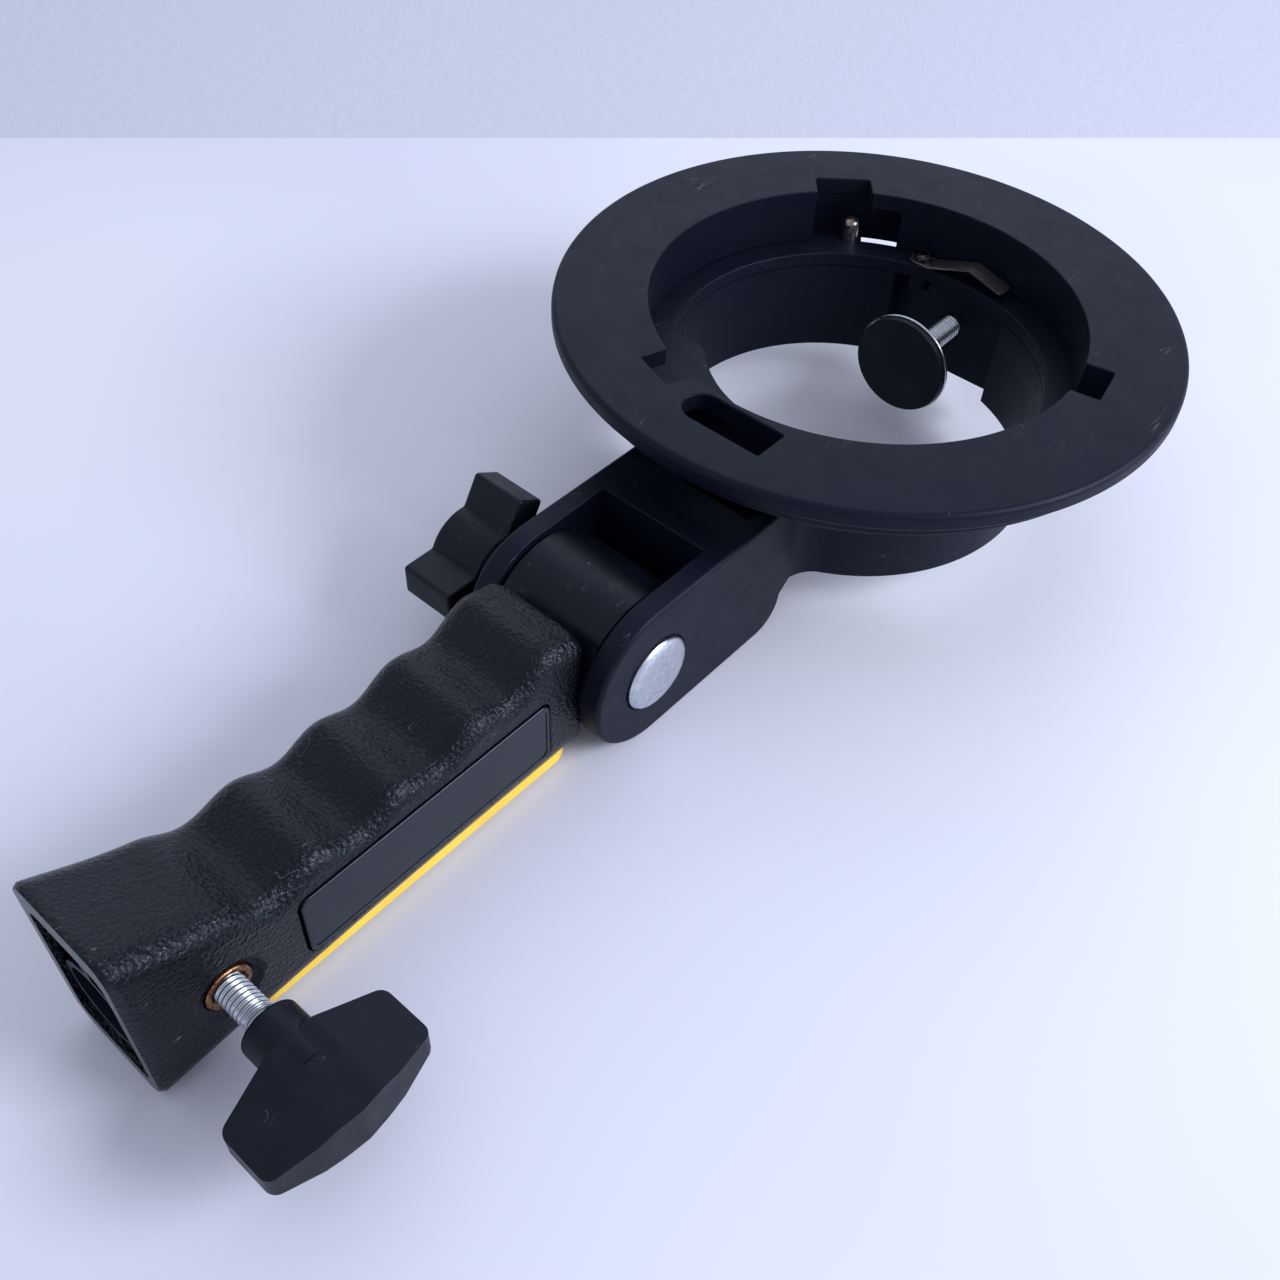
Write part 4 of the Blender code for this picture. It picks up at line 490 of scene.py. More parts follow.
latch_middle = (latch_radius * math.cos(latch_angle), latch_radius * math.sin(latch_angle), shelf_top)
latch_turn = Matrix.Rotation(latch_angle, 4, "Z")
leaf_middle = (*leaf_place, shelf_top + 0.3)
profile = [(housing_radius, shelf_top), (housing_radius, band_top), (housing_outer, band_top)]
profile += [(housing_outer, band_scoop), (band_lip, band_scoop), (band_lip, band_top)]
profile += arc(soft_edge, quarter, 0.0, 4, (band_radius - soft_edge, band_top - soft_edge))
profile += arc(soft_edge, 0.0, -quarter, 4, (band_radius - soft_edge, band_bottom + soft_edge))
profile += arc(1.0, quarter, 2.0 * quarter, 4, (housing_outer + 1.0, band_bottom - 1.0))
profile += arc(soft_edge, 0.0, -quarter, 4, (housing_outer - soft_edge, shelf_bottom + soft_edge))
latch_block = moulded([latch_outline()], block_bottom, hanging_root, soft_edge)
leaf_boss = at(moulded([circle(boss_radius, 40)], boss_bottom, hanging_root, lug_edge), leaf_middle)
dish = worked(lathe(profile, 288), "UNION", [at(latch_block, latch_middle, latch_turn), leaf_boss])
tools = [moulded([passage_outline()], shelf_bottom - over, shelf_top, 0.0, -lug_edge),
         moulded([shifted(passage_outline(), slip - lug_edge)], shelf_top - slip, shelf_top + over),
         moulded([slot_outline()], shelf_bottom - over, band_top + over)]
undercuts = []
for degrees, width in notches:
    end = math.radians(degrees)
    half = math.atan2(width / 2.0, notch_reach)
    window = sector(bore_radius + 0.6, housing_radius - 0.3, end - lug_sweep, end - half)
    tools.append(moulded([eased(window, lug_edge)], shelf_bottom - over, shelf_top + over))
    # The window's outer end is hollowed from below, by a tool a hair shorter than the window
    first, last = end - lug_sweep + hair, end - half - hair
    undercut = sector(housing_radius - 4.2, housing_outer - 0.35, first, last)
    undercuts.append(moulded([eased(undercut, lug_edge)], shelf_bottom - over, shelf_bottom + undercut_depth))
for angle in flange_screw_angles:
    spot = (flange_screw_circle * math.cos(angle), flange_screw_circle * math.sin(angle), 0.0)
    tools.append(at(round_bar(flange_screw_hole, band_bottom - over, band_top + over, 32), spot))
for x, y in ring_screw_places:
    profile = [(ring_screw_head, over), (ring_screw_head, -0.2), (ring_screw_hole, -1.1)]
    sunk = lathe(profile + [(ring_screw_hole, -shelf_thick - over)], 40)
    tools.append(at(sunk, (x, y, shelf_top)))
tools.append(at(round_bar(pin_hole, -shelf_thick - over, over), latch_middle))
tools.append(at(round_bar(spring_bore, block_bottom - over, -shelf_thick), latch_middle))
tools.append(at(round_bar(leaf_screw_hole, boss_bottom + 0.3, over), leaf_middle))
dish = worked(worked(dish, "DIFFERENCE", tools), "DIFFERENCE", undercuts)
piece("backing_dish", dish, from_ring, satin_black, "bracket", "black_plastic", "backing_ring")

# --- Body: collar and arm ---
# One black nylon moulding that carries the load. The collar guides the flash, its flat wall holds
# the clamp's nut and its thin saddle faces the clamp. The arm ends in two round cheeks.
collar_bottom = -41.8
body_top = -17.6
tilt_reach = 93.1
tilt_depth = 35.3
cheek_radius = 17.7
cheek_inner = 13.8
cheek_outer = 18.9
cheek_edge = 1.1
cheek_inner_edge = 0.4
slot_start = 73.5
wall = 3.6
saddle_wall = 2.4
clamp_flat = 46.0
clamp_outer = 52.0
clamp_half = 19.008
recess_half = 16.008
clamp_depth = 28.6
arm_fillet = 9.0
arm_flat_end = 57.0
toe_radius = 8.0
foot = -(tilt_depth + cheek_radius)
bolt_hole = 4.3
sink_radius = 8.9
sink_floor = 18.0
square_start = 14.7
hollow_start = -46.8
rod_bore = 3.3
nut_flats = 10.6
nut_depth = 4.8
boss_room = 3.2
pilot_hole = 1.15
pilot_depth = 6.3
# A tool's end well past the cheeks
past_arm = -120.0
# Turns that send a shape's Z to the part's X, its Z to the part's Y, and its Y to the part's Z
z_to_x = Matrix(((0.0, 0.0, 1.0, 0.0), (1.0, 0.0, 0.0, 0.0), (0.0, 1.0, 0.0, 0.0), (0.0, 0.0, 0.0, 1.0)))
z_to_y = Matrix.Rotation(-quarter, 4, "X")
y_to_z = Matrix.Rotation(quarter, 4, "X")


def block(low, high):
    """A square-cornered block between two corners, used as a cutter."""
    return moulded([oblong(low[0], low[1], high[0], high[1])], low[2], high[2])


def hexagon(flats):
    """A hexagon with its flats this far apart."""
    corner = flats / math.sqrt(3.0)
    return [(corner * math.cos(k * math.pi / 3.0), corner * math.sin(k * math.pi / 3.0)) for k in range(6)]


def softened(mesh, chosen, width, steps=3):
    """Round the edges that the rule picks."""
    bm = bmesh.new()
    bm.from_mesh(mesh)
    bmesh.ops.dissolve_limit(bm, angle_limit=0.002, verts=bm.verts, edges=bm.edges)
    edges = [e for e in bm.edges if len(e.link_faces) == 2 and e.calc_face_angle(0.0) > 0.6 and chosen(e)]
    bmesh.ops.bevel(bm, geom=edges, offset=width, offset_type="OFFSET", segments=steps, profile=0.5,
                    affect="EDGES", clamp_overlap=True)
    return closed_mesh(bm)


def collar_plan():
    """The collar's outside: round, with the clamp's flat block away from the arm."""
    corner = math.asin(clamp_half / collar_outer)
    points = arc(collar_outer, quarter + corner, 5.0 * quarter - corner, 240)
    return points + [(clamp_half, clamp_outer), (-clamp_half, clamp_outer)]


# Solids that are joined stop a little short of each other's faces, so that no two share a plane
def arm_side():
    """The arm from the side as (Y, Z) points: flat top, round clevis end, flat foot and a toe."""
    points = [(-27.0, body_top - 0.02), (-tilt_reach, body_top - 0.02)]
    points += arc(cheek_radius - slip, quarter, 3.0 * quarter, 60, (-tilt_reach, -tilt_depth))[1:]
    points += arc(toe_radius, -quarter, 0.0, 16, (-arm_flat_end, foot + toe_radius))
    return points + [(-45.25, collar_bottom + 0.3), (-27.0, collar_bottom + 0.3)]


def fillet_plan(side):
    """The web between the collar and one side of the arm."""
    x = cheek_outer + arm_fillet
    y = -math.sqrt((collar_outer + arm_fillet) ** 2 - x * x)
    curve = arc(arm_fillet + 0.02, math.atan2(-y, -x), math.pi, 18, (x, y))
    return [(side * px, py) for px, py in curve + [(10.0, y), (10.0, -36.0)]]


def slot_rim(edge):
    """Whether an edge is a long rim of the slot between the cheeks, or the top edge at its root."""
    ends = [vert.co for vert in edge.verts]
    at_root = all(abs(p.y + slot_start) < 0.02 for p in ends)
    on_side = all(abs(abs(p.x) - cheek_inner) < 0.02 for p in ends)
    on_top = all(p.z > body_top - 0.1 for p in ends)
    return max(p.y for p in ends) <= 0.05 - slot_start and (on_top if at_root else on_side)


body = moulded([eased(collar_plan(), 1.2)], collar_bottom, body_top, 0.6)
arm = at(moulded([arm_side()], -cheek_outer, cheek_outer, cheek_edge, cheek_edge, 5), turn=z_to_x)
webs = [moulded([fillet_plan(side)], collar_bottom + 0.4, body_top - 0.03) for side in (-1.0, 1.0)]
body = worked(body, "UNION", [arm] + webs)
shoulder = math.sqrt(collar_radius ** 2 - recess_half ** 2)
passage = [p for p in passage_outline() if abs(p[0]) >= recess_half or p[1] <= 0.0]
opening = [p for p in passage if p[0] > 0.0]
opening += [(recess_half, shoulder), (recess_half, clamp_flat)]
opening += [(-recess_half, clamp_flat), (-recess_half, shoulder)]
opening += [p for p in passage if p[0] < 0.0]
half = saddle_half_angle - saddle_wall / saddle_radius
core = sector(saddle_radius + saddle_wall, collar_radius, -quarter - half, -quarter + half, 60)
clamp_axis = (0.0, 0.0, -clamp_depth)
bolt_axis = (0.0, -tilt_reach, -tilt_depth)
profile = [(sink_radius, sink_floor), (sink_radius, cheek_outer - 0.35), (9.25, cheek_outer)]
sink = lathe(profile + [(9.25, cheek_outer + over)], 96)
square = block((-bolt_hole, -bolt_hole, square_start), (bolt_hole, bolt_hole, cheek_outer - 0.8))
tools = [moulded([opening], collar_bottom - slip, body_top + over, -0.5),
         moulded([shifted(opening, slip - 0.5)], collar_bottom - over, collar_bottom + slip / 2.0),
         moulded([core], collar_bottom - over, body_top - saddle_wall),
         block((-cheek_inner, past_arm, foot - over), (cheek_inner, -slot_start, body_top + over)),
         block((-cheek_inner, wall - slot_start, foot - over), (cheek_inner, hollow_start, body_top - wall)),
         moulded([slot_outline()], body_top - wall - over, body_top + over),
         at(round_bar(rod_bore, clamp_flat - over, clamp_outer + over), clamp_axis, z_to_y),
         at(moulded([hexagon(nut_flats)], clamp_outer - nut_depth, clamp_outer + over), clamp_axis, z_to_y),
         at(round_bar(bolt_hole, -cheek_outer - over, cheek_outer + over), bolt_axis, z_to_x),
         at(square, bolt_axis, z_to_x),
         at(sink, bolt_axis, z_to_x),
         at(round_bar(boss_room, -4.0, over), (*leaf_place, body_top))]
tools += [at(round_bar(pilot_hole, -pilot_depth, over, 24), (x, y, body_top)) for x, y in ring_screw_places]
body = softened(worked(body, "DIFFERENCE", tools), slot_rim, cheek_inner_edge)
piece("collar_and_arm", body, from_ring, satin_black, "bracket", "black_plastic", "bracket_body")

# --- Screws ---
# Cross-head screws, zinc-plated but for the blackened one on the leaf spring: four from behind into
# the flange, four countersunk in the shelf, two in the latch's cover and two in the grip's tang. One
# node tree makes them: a domed head, a cross sunk in it and a shank, set on the screws' places.


class Tree:
    """A node tree for shapes, with named inputs, written a node at a time."""

    def __init__(self, name):
        self.group = bpy.data.node_groups.new(name, "GeometryNodeTree")
        for side in ("INPUT", "OUTPUT"):
            self.group.interface.new_socket("Geometry", in_out=side, socket_type="NodeSocketGeometry")
        self.start = self.group.nodes.new("NodeGroupInput")
        self.end = self.group.nodes.new("NodeGroupOutput")

    def sizes(self, *names, kind="NodeSocketFloat"):
        """Add named inputs and give their sockets in the tree."""
        for name in names:
            self.group.interface.new_socket(name, in_out="INPUT", socket_type=kind)
        return [self.start.outputs[name] for name in names]

    def node(self, kind, settings=None, **inputs):
        """Add a node and give its first output."""
        return add_node(self.group, kind, settings, **inputs)

    def math(self, operation, *values):
        """Add one step of arithmetic and give its result."""
        inputs = {f"at{index}": value for index, value in enumerate(values)}
        return self.node("ShaderNodeMath", {"operation": operation}, **inputs)

    def xyz(self, x=0.0, y=0.0, z=0.0):
        """Put three numbers together."""
        return self.node("ShaderNodeCombineXYZ", X=x, Y=y, Z=z)

    def place(self):
        """Where each point is, as three numbers."""
        spot = self.node("GeometryNodeInputPosition")
        return self.node("ShaderNodeSeparateXYZ", Vector=spot).node.outputs

    def on_points(self, shape, **inputs):
        """Set a copy of a shape on each point that the tree is given."""
        return self.node("GeometryNodeInstanceOnPoints", Points=self.start.outputs["Geometry"],
                         Instance=shape, **inputs)

    def close(self, shape):
        """End the tree: real meshes, in the finish that the tree is given."""
        finish = self.sizes("Finish", kind="NodeSocketMaterial")
        real = self.node("GeometryNodeRealizeInstances", Geometry=shape)
        painted = self.node("GeometryNodeSetMaterial", Geometry=real, Material=finish)
        self.group.links.new(painted, self.end.inputs[0])
        return self


def grown(tree, mesh, sizes):
    """Run a tree on a mesh, with its inputs set by name, and give the plain mesh that it makes."""
    source = shown("blank", mesh)
    step = source.modifiers.new("grow", "NODES")
    step.node_group = tree.group
    for socket in tree.group.interface.items_tree:
        if socket.in_out == "INPUT" and socket.name in sizes:
            step[socket.identifier] = sizes[socket.name]
    source.update_tag()
    made = baked(source)
    bpy.data.objects.remove(source)
    return made


def dots(points):
    """Loose points for a tree to build on."""
    mesh = bpy.data.meshes.new("dots")
    mesh.from_pydata(points, [], [])
    return mesh


def cross_head_tree():
    """The node tree of a cross-head screw."""
    tree = Tree("cross_head_screw")
    radius, height, dome, under = tree.sizes("Head radius", "Head height", "Dome", "Under radius")
    shank_radius, length = tree.sizes("Shank radius", "Shank length")
    turn, = tree.sizes("Turn", kind="NodeSocketVector")
    head = tree.node("GeometryNodeMeshCone", {"fill_type": "NGON"}, Vertices=40, Side_Segments=4,
                     Fill_Segments=6, Radius_Top=radius, Radius_Bottom=under, Depth=height)
    x, y, z = tree.place()
    out = tree.math("SQRT", tree.math("ADD", tree.math("POWER", x, 2.0), tree.math("POWER", y, 2.0)))
    fall = tree.math("POWER", tree.math("DIVIDE", out, radius), 2.5)
    fall = tree.math("MULTIPLY", fall, tree.math("MULTIPLY", dome, tree.math("DIVIDE", z, height)))
    fall = tree.xyz(z=tree.math("MULTIPLY", fall, -1.0))
    domed = tree.node("GeometryNodeSetPosition", Geometry=head, Offset=fall)
    long = tree.math("MULTIPLY", radius, 1.15)
    wide = tree.math("MULTIPLY", radius, 0.26)
    deep = tree.math("MULTIPLY", height, 1.1)
    bars = []
    for size in (tree.xyz(long, wide, deep), tree.xyz(wide, long, deep)):
        bar = tree.node("GeometryNodeMeshCube", Size=size)
        bars.append(tree.node("GeometryNodeTransform", Geometry=bar, Translation=tree.xyz(z=height)))
    crossed = tree.node("GeometryNodeMeshBoolean", {"operation": "DIFFERENCE", "solver": "EXACT"},
                        at0=domed, at1=bars)
    shank = tree.node("GeometryNodeMeshCylinder", {"fill_type": "NGON"}, Vertices=24, Side_Segments=2,
                      Radius=shank_radius, Depth=length)
    below = tree.math("SUBTRACT", 0.2, tree.math("DIVIDE", length, 2.0))
    shank = tree.node("GeometryNodeTransform", Geometry=shank, Translation=tree.xyz(z=below))
    whole = tree.node("GeometryNodeJoinGeometry", at0=[crossed, shank])
    return tree.close(tree.on_points(whole, Rotation=turn))


screw_tree = cross_head_tree()
heads_down = (math.pi, 0.0, 0.0)
heads_up = (0.0, 0.0, 0.0)


def screws(name, spots, place, turn, finish, head, shank, *said):
    """A group of screws. The head has a radius, height, dome and lower radius, the shank a radius
    and length."""
    sizes = dict(zip(("Head radius", "Head height", "Dome", "Under radius"), head))
    sizes.update({"Shank radius": shank[0], "Shank length": shank[1], "Turn": turn, "Finish": finish})
    return piece(name, grown(screw_tree, dots(spots), sizes), place, finish, *said)


screw_steel = plain_finish("dull_zinc_steel", (0.30, 0.31, 0.33), 0.38, 1.0)
spangle = pattern(screw_steel, 0.9, Detail=4.0)
patterned(screw_steel, spangle, (0.35, 0.65), (0.16, 0.16, 0.18), (0.28, 0.5), 0.01)

spots = []
for angle in flange_screw_angles:
    spots.append((flange_screw_circle * math.cos(angle), flange_screw_circle * math.sin(angle), -8.6))
screws("flange_screws", spots, from_ring, heads_down, screw_steel, (2.8, 1.8, 0.8, 2.8), (1.5, 7.2),
       "bracket", "steel", "flange_screw_1", "flange_screw_2", "flange_screw_3", "flange_screw_4")
spots = [(x, y, shelf_top - 0.2 - 0.9) for x, y in ring_screw_places]
screws("shelf_screws", spots, from_ring, heads_up, screw_steel, (1.9, 0.9, 0.0, 1.0), (1.0, 8.2),
       "bracket", "steel", "ring_screw_1", "ring_screw_2", "ring_screw_3", "ring_screw_4")

# --- Latch ---
# A domed steel pin stands up through the shelf in the widest notch and stops a mounted ring from
# turning back. A spring in the block lifts it, a screwed cover holds the spring, and a nylon tab
# on the pin's stem, under the cover, is pulled down to let the ring go.
from_latch = from_ring @ Matrix.Translation(latch_middle) @ latch_turn
pin_radius = 2.2
pin_rise = 5.6
pin_foot = -3.6
pin_collar = 3.8
stem_radius = 1.5
stem_end = -25.3
stem_hole = 1.8
cover_low = -21.8
cover_high = -19.8
cover_screw_side = 2.9
cover_screw_along = 10.6
tab_low = -24.3
tab_high = -22.1
tab_end = 13.0
tab_lip = -27.5
worn_steel = plain_finish("worn_bright_steel", (0.52, 0.49, 0.47), 0.24, 1.0)
tarnish = pattern(worn_steel, 1.6, Detail=5.0, Roughness=0.65)
patterned(worn_steel, tarnish, (0.42, 0.62), (0.20, 0.15, 0.12), (0.18, 0.42), 0.012)

profile = [(0.25, pin_rise), (0.9, pin_rise - 0.06), (1.45, pin_rise - 0.26), (1.85, pin_rise - 0.6)]
profile += [(2.1, pin_rise - 1.0), (pin_radius, pin_rise - 1.5), (pin_radius, pin_foot)]
profile += [(pin_collar, pin_foot), (pin_collar, -5.4), (stem_radius, -5.4), (stem_radius, stem_end)]
piece("latch_pin_steel", lathe(profile, 64), from_latch, worn_steel, "latch", "zinc", "latch_pin")

tools = [round_bar(stem_hole, -30.0, -10.0, 40)]
for x in (-cover_screw_side, cover_screw_side):
    tools.append(at(round_bar(1.35, -30.0, -10.0, 32), (x, cover_screw_along, 0.0)))
cover = worked(moulded([latch_outline()], cover_low, cover_high, 0.4), "DIFFERENCE", tools)
piece("latch_cover_plate", cover, from_latch, satin_black, "bracket", "black_plastic", "latch_cover")
spots = [(x, cover_screw_along, cover_low - 0.3) for x in (-cover_screw_side, cover_screw_side)]
screws("latch_cover_screws", spots, from_latch, heads_down, screw_steel, (1.9, 1.2, 0.5, 1.9), (1.05, 6.3),
       "bracket", "steel", "latch_cover_screw_1", "latch_cover_screw_2")

tab_side = [(-3.5, tab_low), (-3.5, tab_high), (tab_end, tab_high), (tab_end, tab_lip)]
tab_side += [(tab_end - 2.2, tab_lip), (tab_end - 2.2, tab_low)]
tab = at(moulded([eased(tab_side, 0.5)], -5.0, 5.0, 0.5, 0.5), turn=y_to_z)
tab = worked(tab, "DIFFERENCE", [round_bar(stem_hole, -30.0, -20.0, 40)])
piece("latch_finger_tab", tab, from_latch, satin_black, "latch", "black_plastic", "latch_tab")

# --- Springs ---
# A strip of spring steel, 0.5 mm thick, is bent to a low roof that presses on a lug as it turns in.
# A coil spring, a helix of round wire drawn by a node tree, lifts the latch's pin.
# A small cross-head screw holds the strip's foot.
from_leaf = from_ring @ Matrix.Translation(leaf_middle)
leaf_start = -3.0
leaf_end = 24.4
leaf_wide = 2.5
leaf_thick = 0.5
leaf_line = [(leaf_start, 0.25), (2.0, 0.25), (3.0, 0.31), (4.2, 0.66), (13.2, 3.82), (14.2, 4.1)]
leaf_line += [(15.0, 4.08), (16.0, 3.82), (23.6, 1.88), (leaf_end, 1.70)]
spring_steel = plain_finish("dull_spring_steel", (0.33, 0.31, 0.29), 0.36, 1.0)
drawn = pattern(spring_steel, 0.5, (14.0, 1.0, 1.0), Detail=3.0)
patterned(spring_steel, drawn, (0.3, 0.7), (0.17, 0.16, 0.155), (0.28, 0.5), 0.008)
dark_steel = plain_finish("blackened_steel", (0.045, 0.045, 0.052), 0.3, 1.0)
rubbed = pattern(dark_steel, 0.6, Detail=4.0)
patterned(dark_steel, rubbed, (0.56, 0.66), (0.30, 0.29, 0.28), (0.22, 0.42), 0.01)

upper, lower = [], []
for index, point in enumerate(leaf_line):
    before, after = leaf_line[max(index - 1, 0)], leaf_line[min(index + 1, len(leaf_line) - 1)]
    along = (Vector(after) - Vector(before)).normalized() * leaf_thick / 2.0
    upper.append((point[0] - along.y, point[1] + along.x))
    lower.append((point[0] + along.y, point[1] - along.x))
strip = at(moulded([lower + upper[::-1]], -4.0, 4.0), turn=y_to_z)
plan = eased(oblong(leaf_start, -leaf_wide, leaf_end, leaf_wide), 1.3, 8)
strip = worked(strip, "INTERSECT", [moulded([plan], -2.0, 7.0)])
strip = worked(strip, "DIFFERENCE", [round_bar(1.4, -2.0, 2.0, 32)])
piece("leaf_spring_strip", strip, from_leaf, spring_steel, "leaf", "steel", "leaf_spring", crease=20.0)

tree = Tree("coil_spring")
radius, wire_radius, height, turns = tree.sizes("Radius", "Wire radius", "Height", "Turns")
helix = tree.node("GeometryNodeCurveSpiral", Resolution=24, Rotations=turns, Start_Radius=radius,
                  End_Radius=radius, Height=height)
wire = tree.node("GeometryNodeCurvePrimitiveCircle", Resolution=12, Radius=wire_radius)
coil = tree.node("GeometryNodeCurveToMesh", Curve=helix, Profile_Curve=wire, Fill_Caps=True)
coil = grown(tree.close(tree.on_points(coil)), dots([(0.0, 0.0, -19.16)]), {
    "Radius": 2.8, "Wire radius": 0.3, "Height": 13.12, "Turns": 6.0, "Finish": spring_steel})
spring = piece("latch_coil_spring", coil, from_latch, spring_steel, "bracket", "steel", "latch_spring",
               crease=60.0)
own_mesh(spring)
screws("leaf_screw", [(0.0, 0.0, leaf_thick + 0.3)], from_leaf, heads_up, dark_steel,
       (2.2, 1.4, 0.6, 2.2), (1.1, 5.6), "bracket", "zinc", "leaf_spring_screw")

# --- Pad clamp ---
# An M6 zinc-plated rod runs in a brass nut in the collar's flat wall. On its inner end sits a
# pressed steel disc faced with black rubber sheet, which presses the flash against the saddle.
from_clamp = from_ring @ Matrix.Translation(clamp_axis) @ z_to_y
pad_place = 22.0
face_radius = 12.4
disc_low = pad_place + 1.6
neck_radius = 4.8
disc_top = disc_low + 1.2
nose_top = disc_low + 4.2
rod_radius = 3.0
bright_zinc = plain_finish("bright_zinc_plate", (0.66, 0.69, 0.73), 0.26, 1.0)
bloom = pattern(bright_zinc, 1.3, Detail=6.0, Roughness=0.7)
vary_colour(bright_zinc, bloom, 0.36, 0.66, (0.44, 0.47, 0.51))
vary_roughness(bright_zinc, bloom, 0.2, 0.42)
emboss(bright_zinc, pattern(bright_zinc, 0.22, Detail=2.0), 0.008)
emboss(bright_zinc, bloom, 0.02)
matt_rubber = plain_finish("black_rubber_sheet", (0.0038, 0.0046, 0.0085), 0.50, mirror=0.24)
fine = pattern(matt_rubber, 0.4, Detail=3.0)
vary_roughness(matt_rubber, fine, 0.5, 0.68)
emboss(matt_rubber, fine, 0.02)
vary_colour(matt_rubber, pattern(matt_rubber, 9.0, Detail=4.0), 0.4, 0.75, (0.011, 0.012, 0.017))

profile = [(12.0, pad_place), (12.28, pad_place + 0.1), (face_radius, pad_place + 0.4)]
profile += [(face_radius, pad_place + 1.3)]
piece("clamp_rubber_face", lathe(profile, 128), from_clamp, matt_rubber,
      "clamp_pad", "rubber", "clamp_pad_face")
profile = [(2.0, disc_low), (12.6, disc_low)] + arc(0.35, -quarter, quarter, 8, (12.55, disc_low + 0.35))
profile += [(12.3, disc_low + 0.8), (6.2, disc_top), (5.2, disc_low + 1.5), (neck_radius, disc_low + 2.1)]
profile += [(neck_radius, disc_low + 3.9), (4.5, nose_top), (rod_bore, nose_top), (rod_bore, disc_top)]
profile += [(2.0, disc_top)]
piece("clamp_steel_disc", lathe(profile, 128, closed=True), from_clamp, bright_zinc,
      "clamp_pad", "zinc", "clamp_pad_plate")


def thread_tree():
    """An M6 thread is a helix rolled into a bar. The bar's points move in by how far they are along
    the pitch, which grows with the height and with the angle round it. The ends stay plain."""
    tree = Tree("threaded_rod")
    radius, depth, pitch = tree.sizes("Radius", "Thread depth", "Pitch")
    length, plain = tree.sizes("Length", "Plain ends")
    rows, = tree.sizes("Rows", kind="NodeSocketInt")
    bar = tree.node("GeometryNodeMeshCylinder", {"fill_type": "NGON"}, Vertices=40, Side_Segments=rows,
                    Radius=radius, Depth=length)
    x, y, z = tree.place()
    around = tree.math("DIVIDE", tree.math("ARCTAN2", y, x), 2.0 * math.pi)
    climb = tree.math("ADD", tree.math("DIVIDE", z, pitch), around)
    valley = tree.node("ShaderNodeMapRange", {"interpolation_type": "SMOOTHSTEP"},
                       Value=tree.math("PINGPONG", climb, 0.5), From_Min=0.08, From_Max=0.42)
    to_end = tree.math("SUBTRACT", tree.math("DIVIDE", length, 2.0), tree.math("ABSOLUTE", z))
    faded = tree.math("MINIMUM", tree.math("DIVIDE", to_end, plain), 1.0)
    cut_in = tree.math("MULTIPLY", depth, tree.math("MULTIPLY", valley, faded))
    tip = tree.math("MULTIPLY", depth, tree.math("SUBTRACT", 1.0, faded))
    scale = tree.math("SUBTRACT", 1.0, tree.math("DIVIDE", tree.math("ADD", cut_in, tip), radius))
    moved = tree.xyz(tree.math("MULTIPLY", x, scale), tree.math("MULTIPLY", y, scale), z)
    threaded = tree.node("GeometryNodeSetPosition", Geometry=bar, Position=moved)
    return tree.close(tree.on_points(threaded))


rod_tree = thread_tree()


def rod(low, high):
    """A threaded rod along Z between two heights."""
    length = high - low
    return grown(rod_tree, dots([(0.0, 0.0, (low + high) / 2.0)]), {
        "Radius": rod_radius, "Thread depth": 0.4, "Pitch": 1.0, "Length": length, "Plain ends": 0.6,
        "Rows": int(length * 10.0), "Finish": bright_zinc})


piece("clamp_threaded_rod", rod(pad_place + 3.1, 74.6), from_clamp, bright_zinc,
      "clamp_screw", "zinc", "clamp_screw", crease=60.0)

# --- T-shaped knobs ---
# The clamp and the stand lock are turned by the same knob, moulded in black nylon over its rod:
# a round hub and a T-shaped wing, thick in the middle and thin at its tips, with soft corners.
knob_hub = 5.6
knob_hub_edge = 0.7
knob_root = knob_hub * 0.8
knob_depth = 24.5
knob_span = 16.6
knob_black = plain_finish("knob_black_nylon", (0.0034, 0.0040, 0.0072), 0.40, mirror=0.25)
wipe = pattern(knob_black, 6.0, Detail=4.0, Roughness=0.6)
vary_roughness(knob_black, wipe, 0.38, 0.54)
vary_colour(knob_black, wipe, 0.4, 0.7, (0.0055, 0.0062, 0.0105))
emboss(knob_black, pattern(knob_black, 0.28, Detail=2.0), 0.02)
scuffed(knob_black, 2.6, 0.0025, (0.07, 0.07, 0.08))


def t_knob(start, bored_to):
    """The knob about Z, from its hub's open end, bored for its rod."""
    profile = [(knob_hub - knob_hub_edge, start)]
    profile += arc(knob_hub_edge, -quarter, 0.0, 5, (knob_hub - knob_hub_edge, start + knob_hub_edge))[1:]
    hub = lathe(profile + [(knob_hub, start + 12.0)], 72)
    face = [(-knob_root, 6.5), (-knob_span * 0.62, 8.2), (-knob_span, 10.0), (-knob_span, 21.6)]
    face += [(-knob_span * 0.5, 23.64), (0.0, knob_depth)]
    face += [(-x, z) for x, z in reversed(face[:-1])]
    wing = at(moulded([eased(face, 2.2, 6, 0.2)], -8.0, 8.0), turn=y_to_z)
    plan = [(-knob_span - over, -1.95), (-knob_root, -5.3), (knob_root, -5.3), (knob_span + over, -1.95)]
    plan += [(-x, -y) for x, y in plan]
    crossing = moulded([eased(plan, 9.0, 8, 0.1)], -over, knob_depth + over)
    wing = softened(worked(wing, "INTERSECT", [crossing]), lambda edge: True, 1.0, 4)
    wing = at(wing, (0.0, 0.0, start), Matrix.Rotation(quarter, 4, "Z"))
    return worked(worked(hub, "UNION", [wing]), "DIFFERENCE", [round_bar(rod_bore, start - over, bored_to)])


piece("clamp_t_knob", t_knob(60.6, 74.9), from_clamp, knob_black,
      "clamp_screw", "knob_plastic", "clamp_knob")

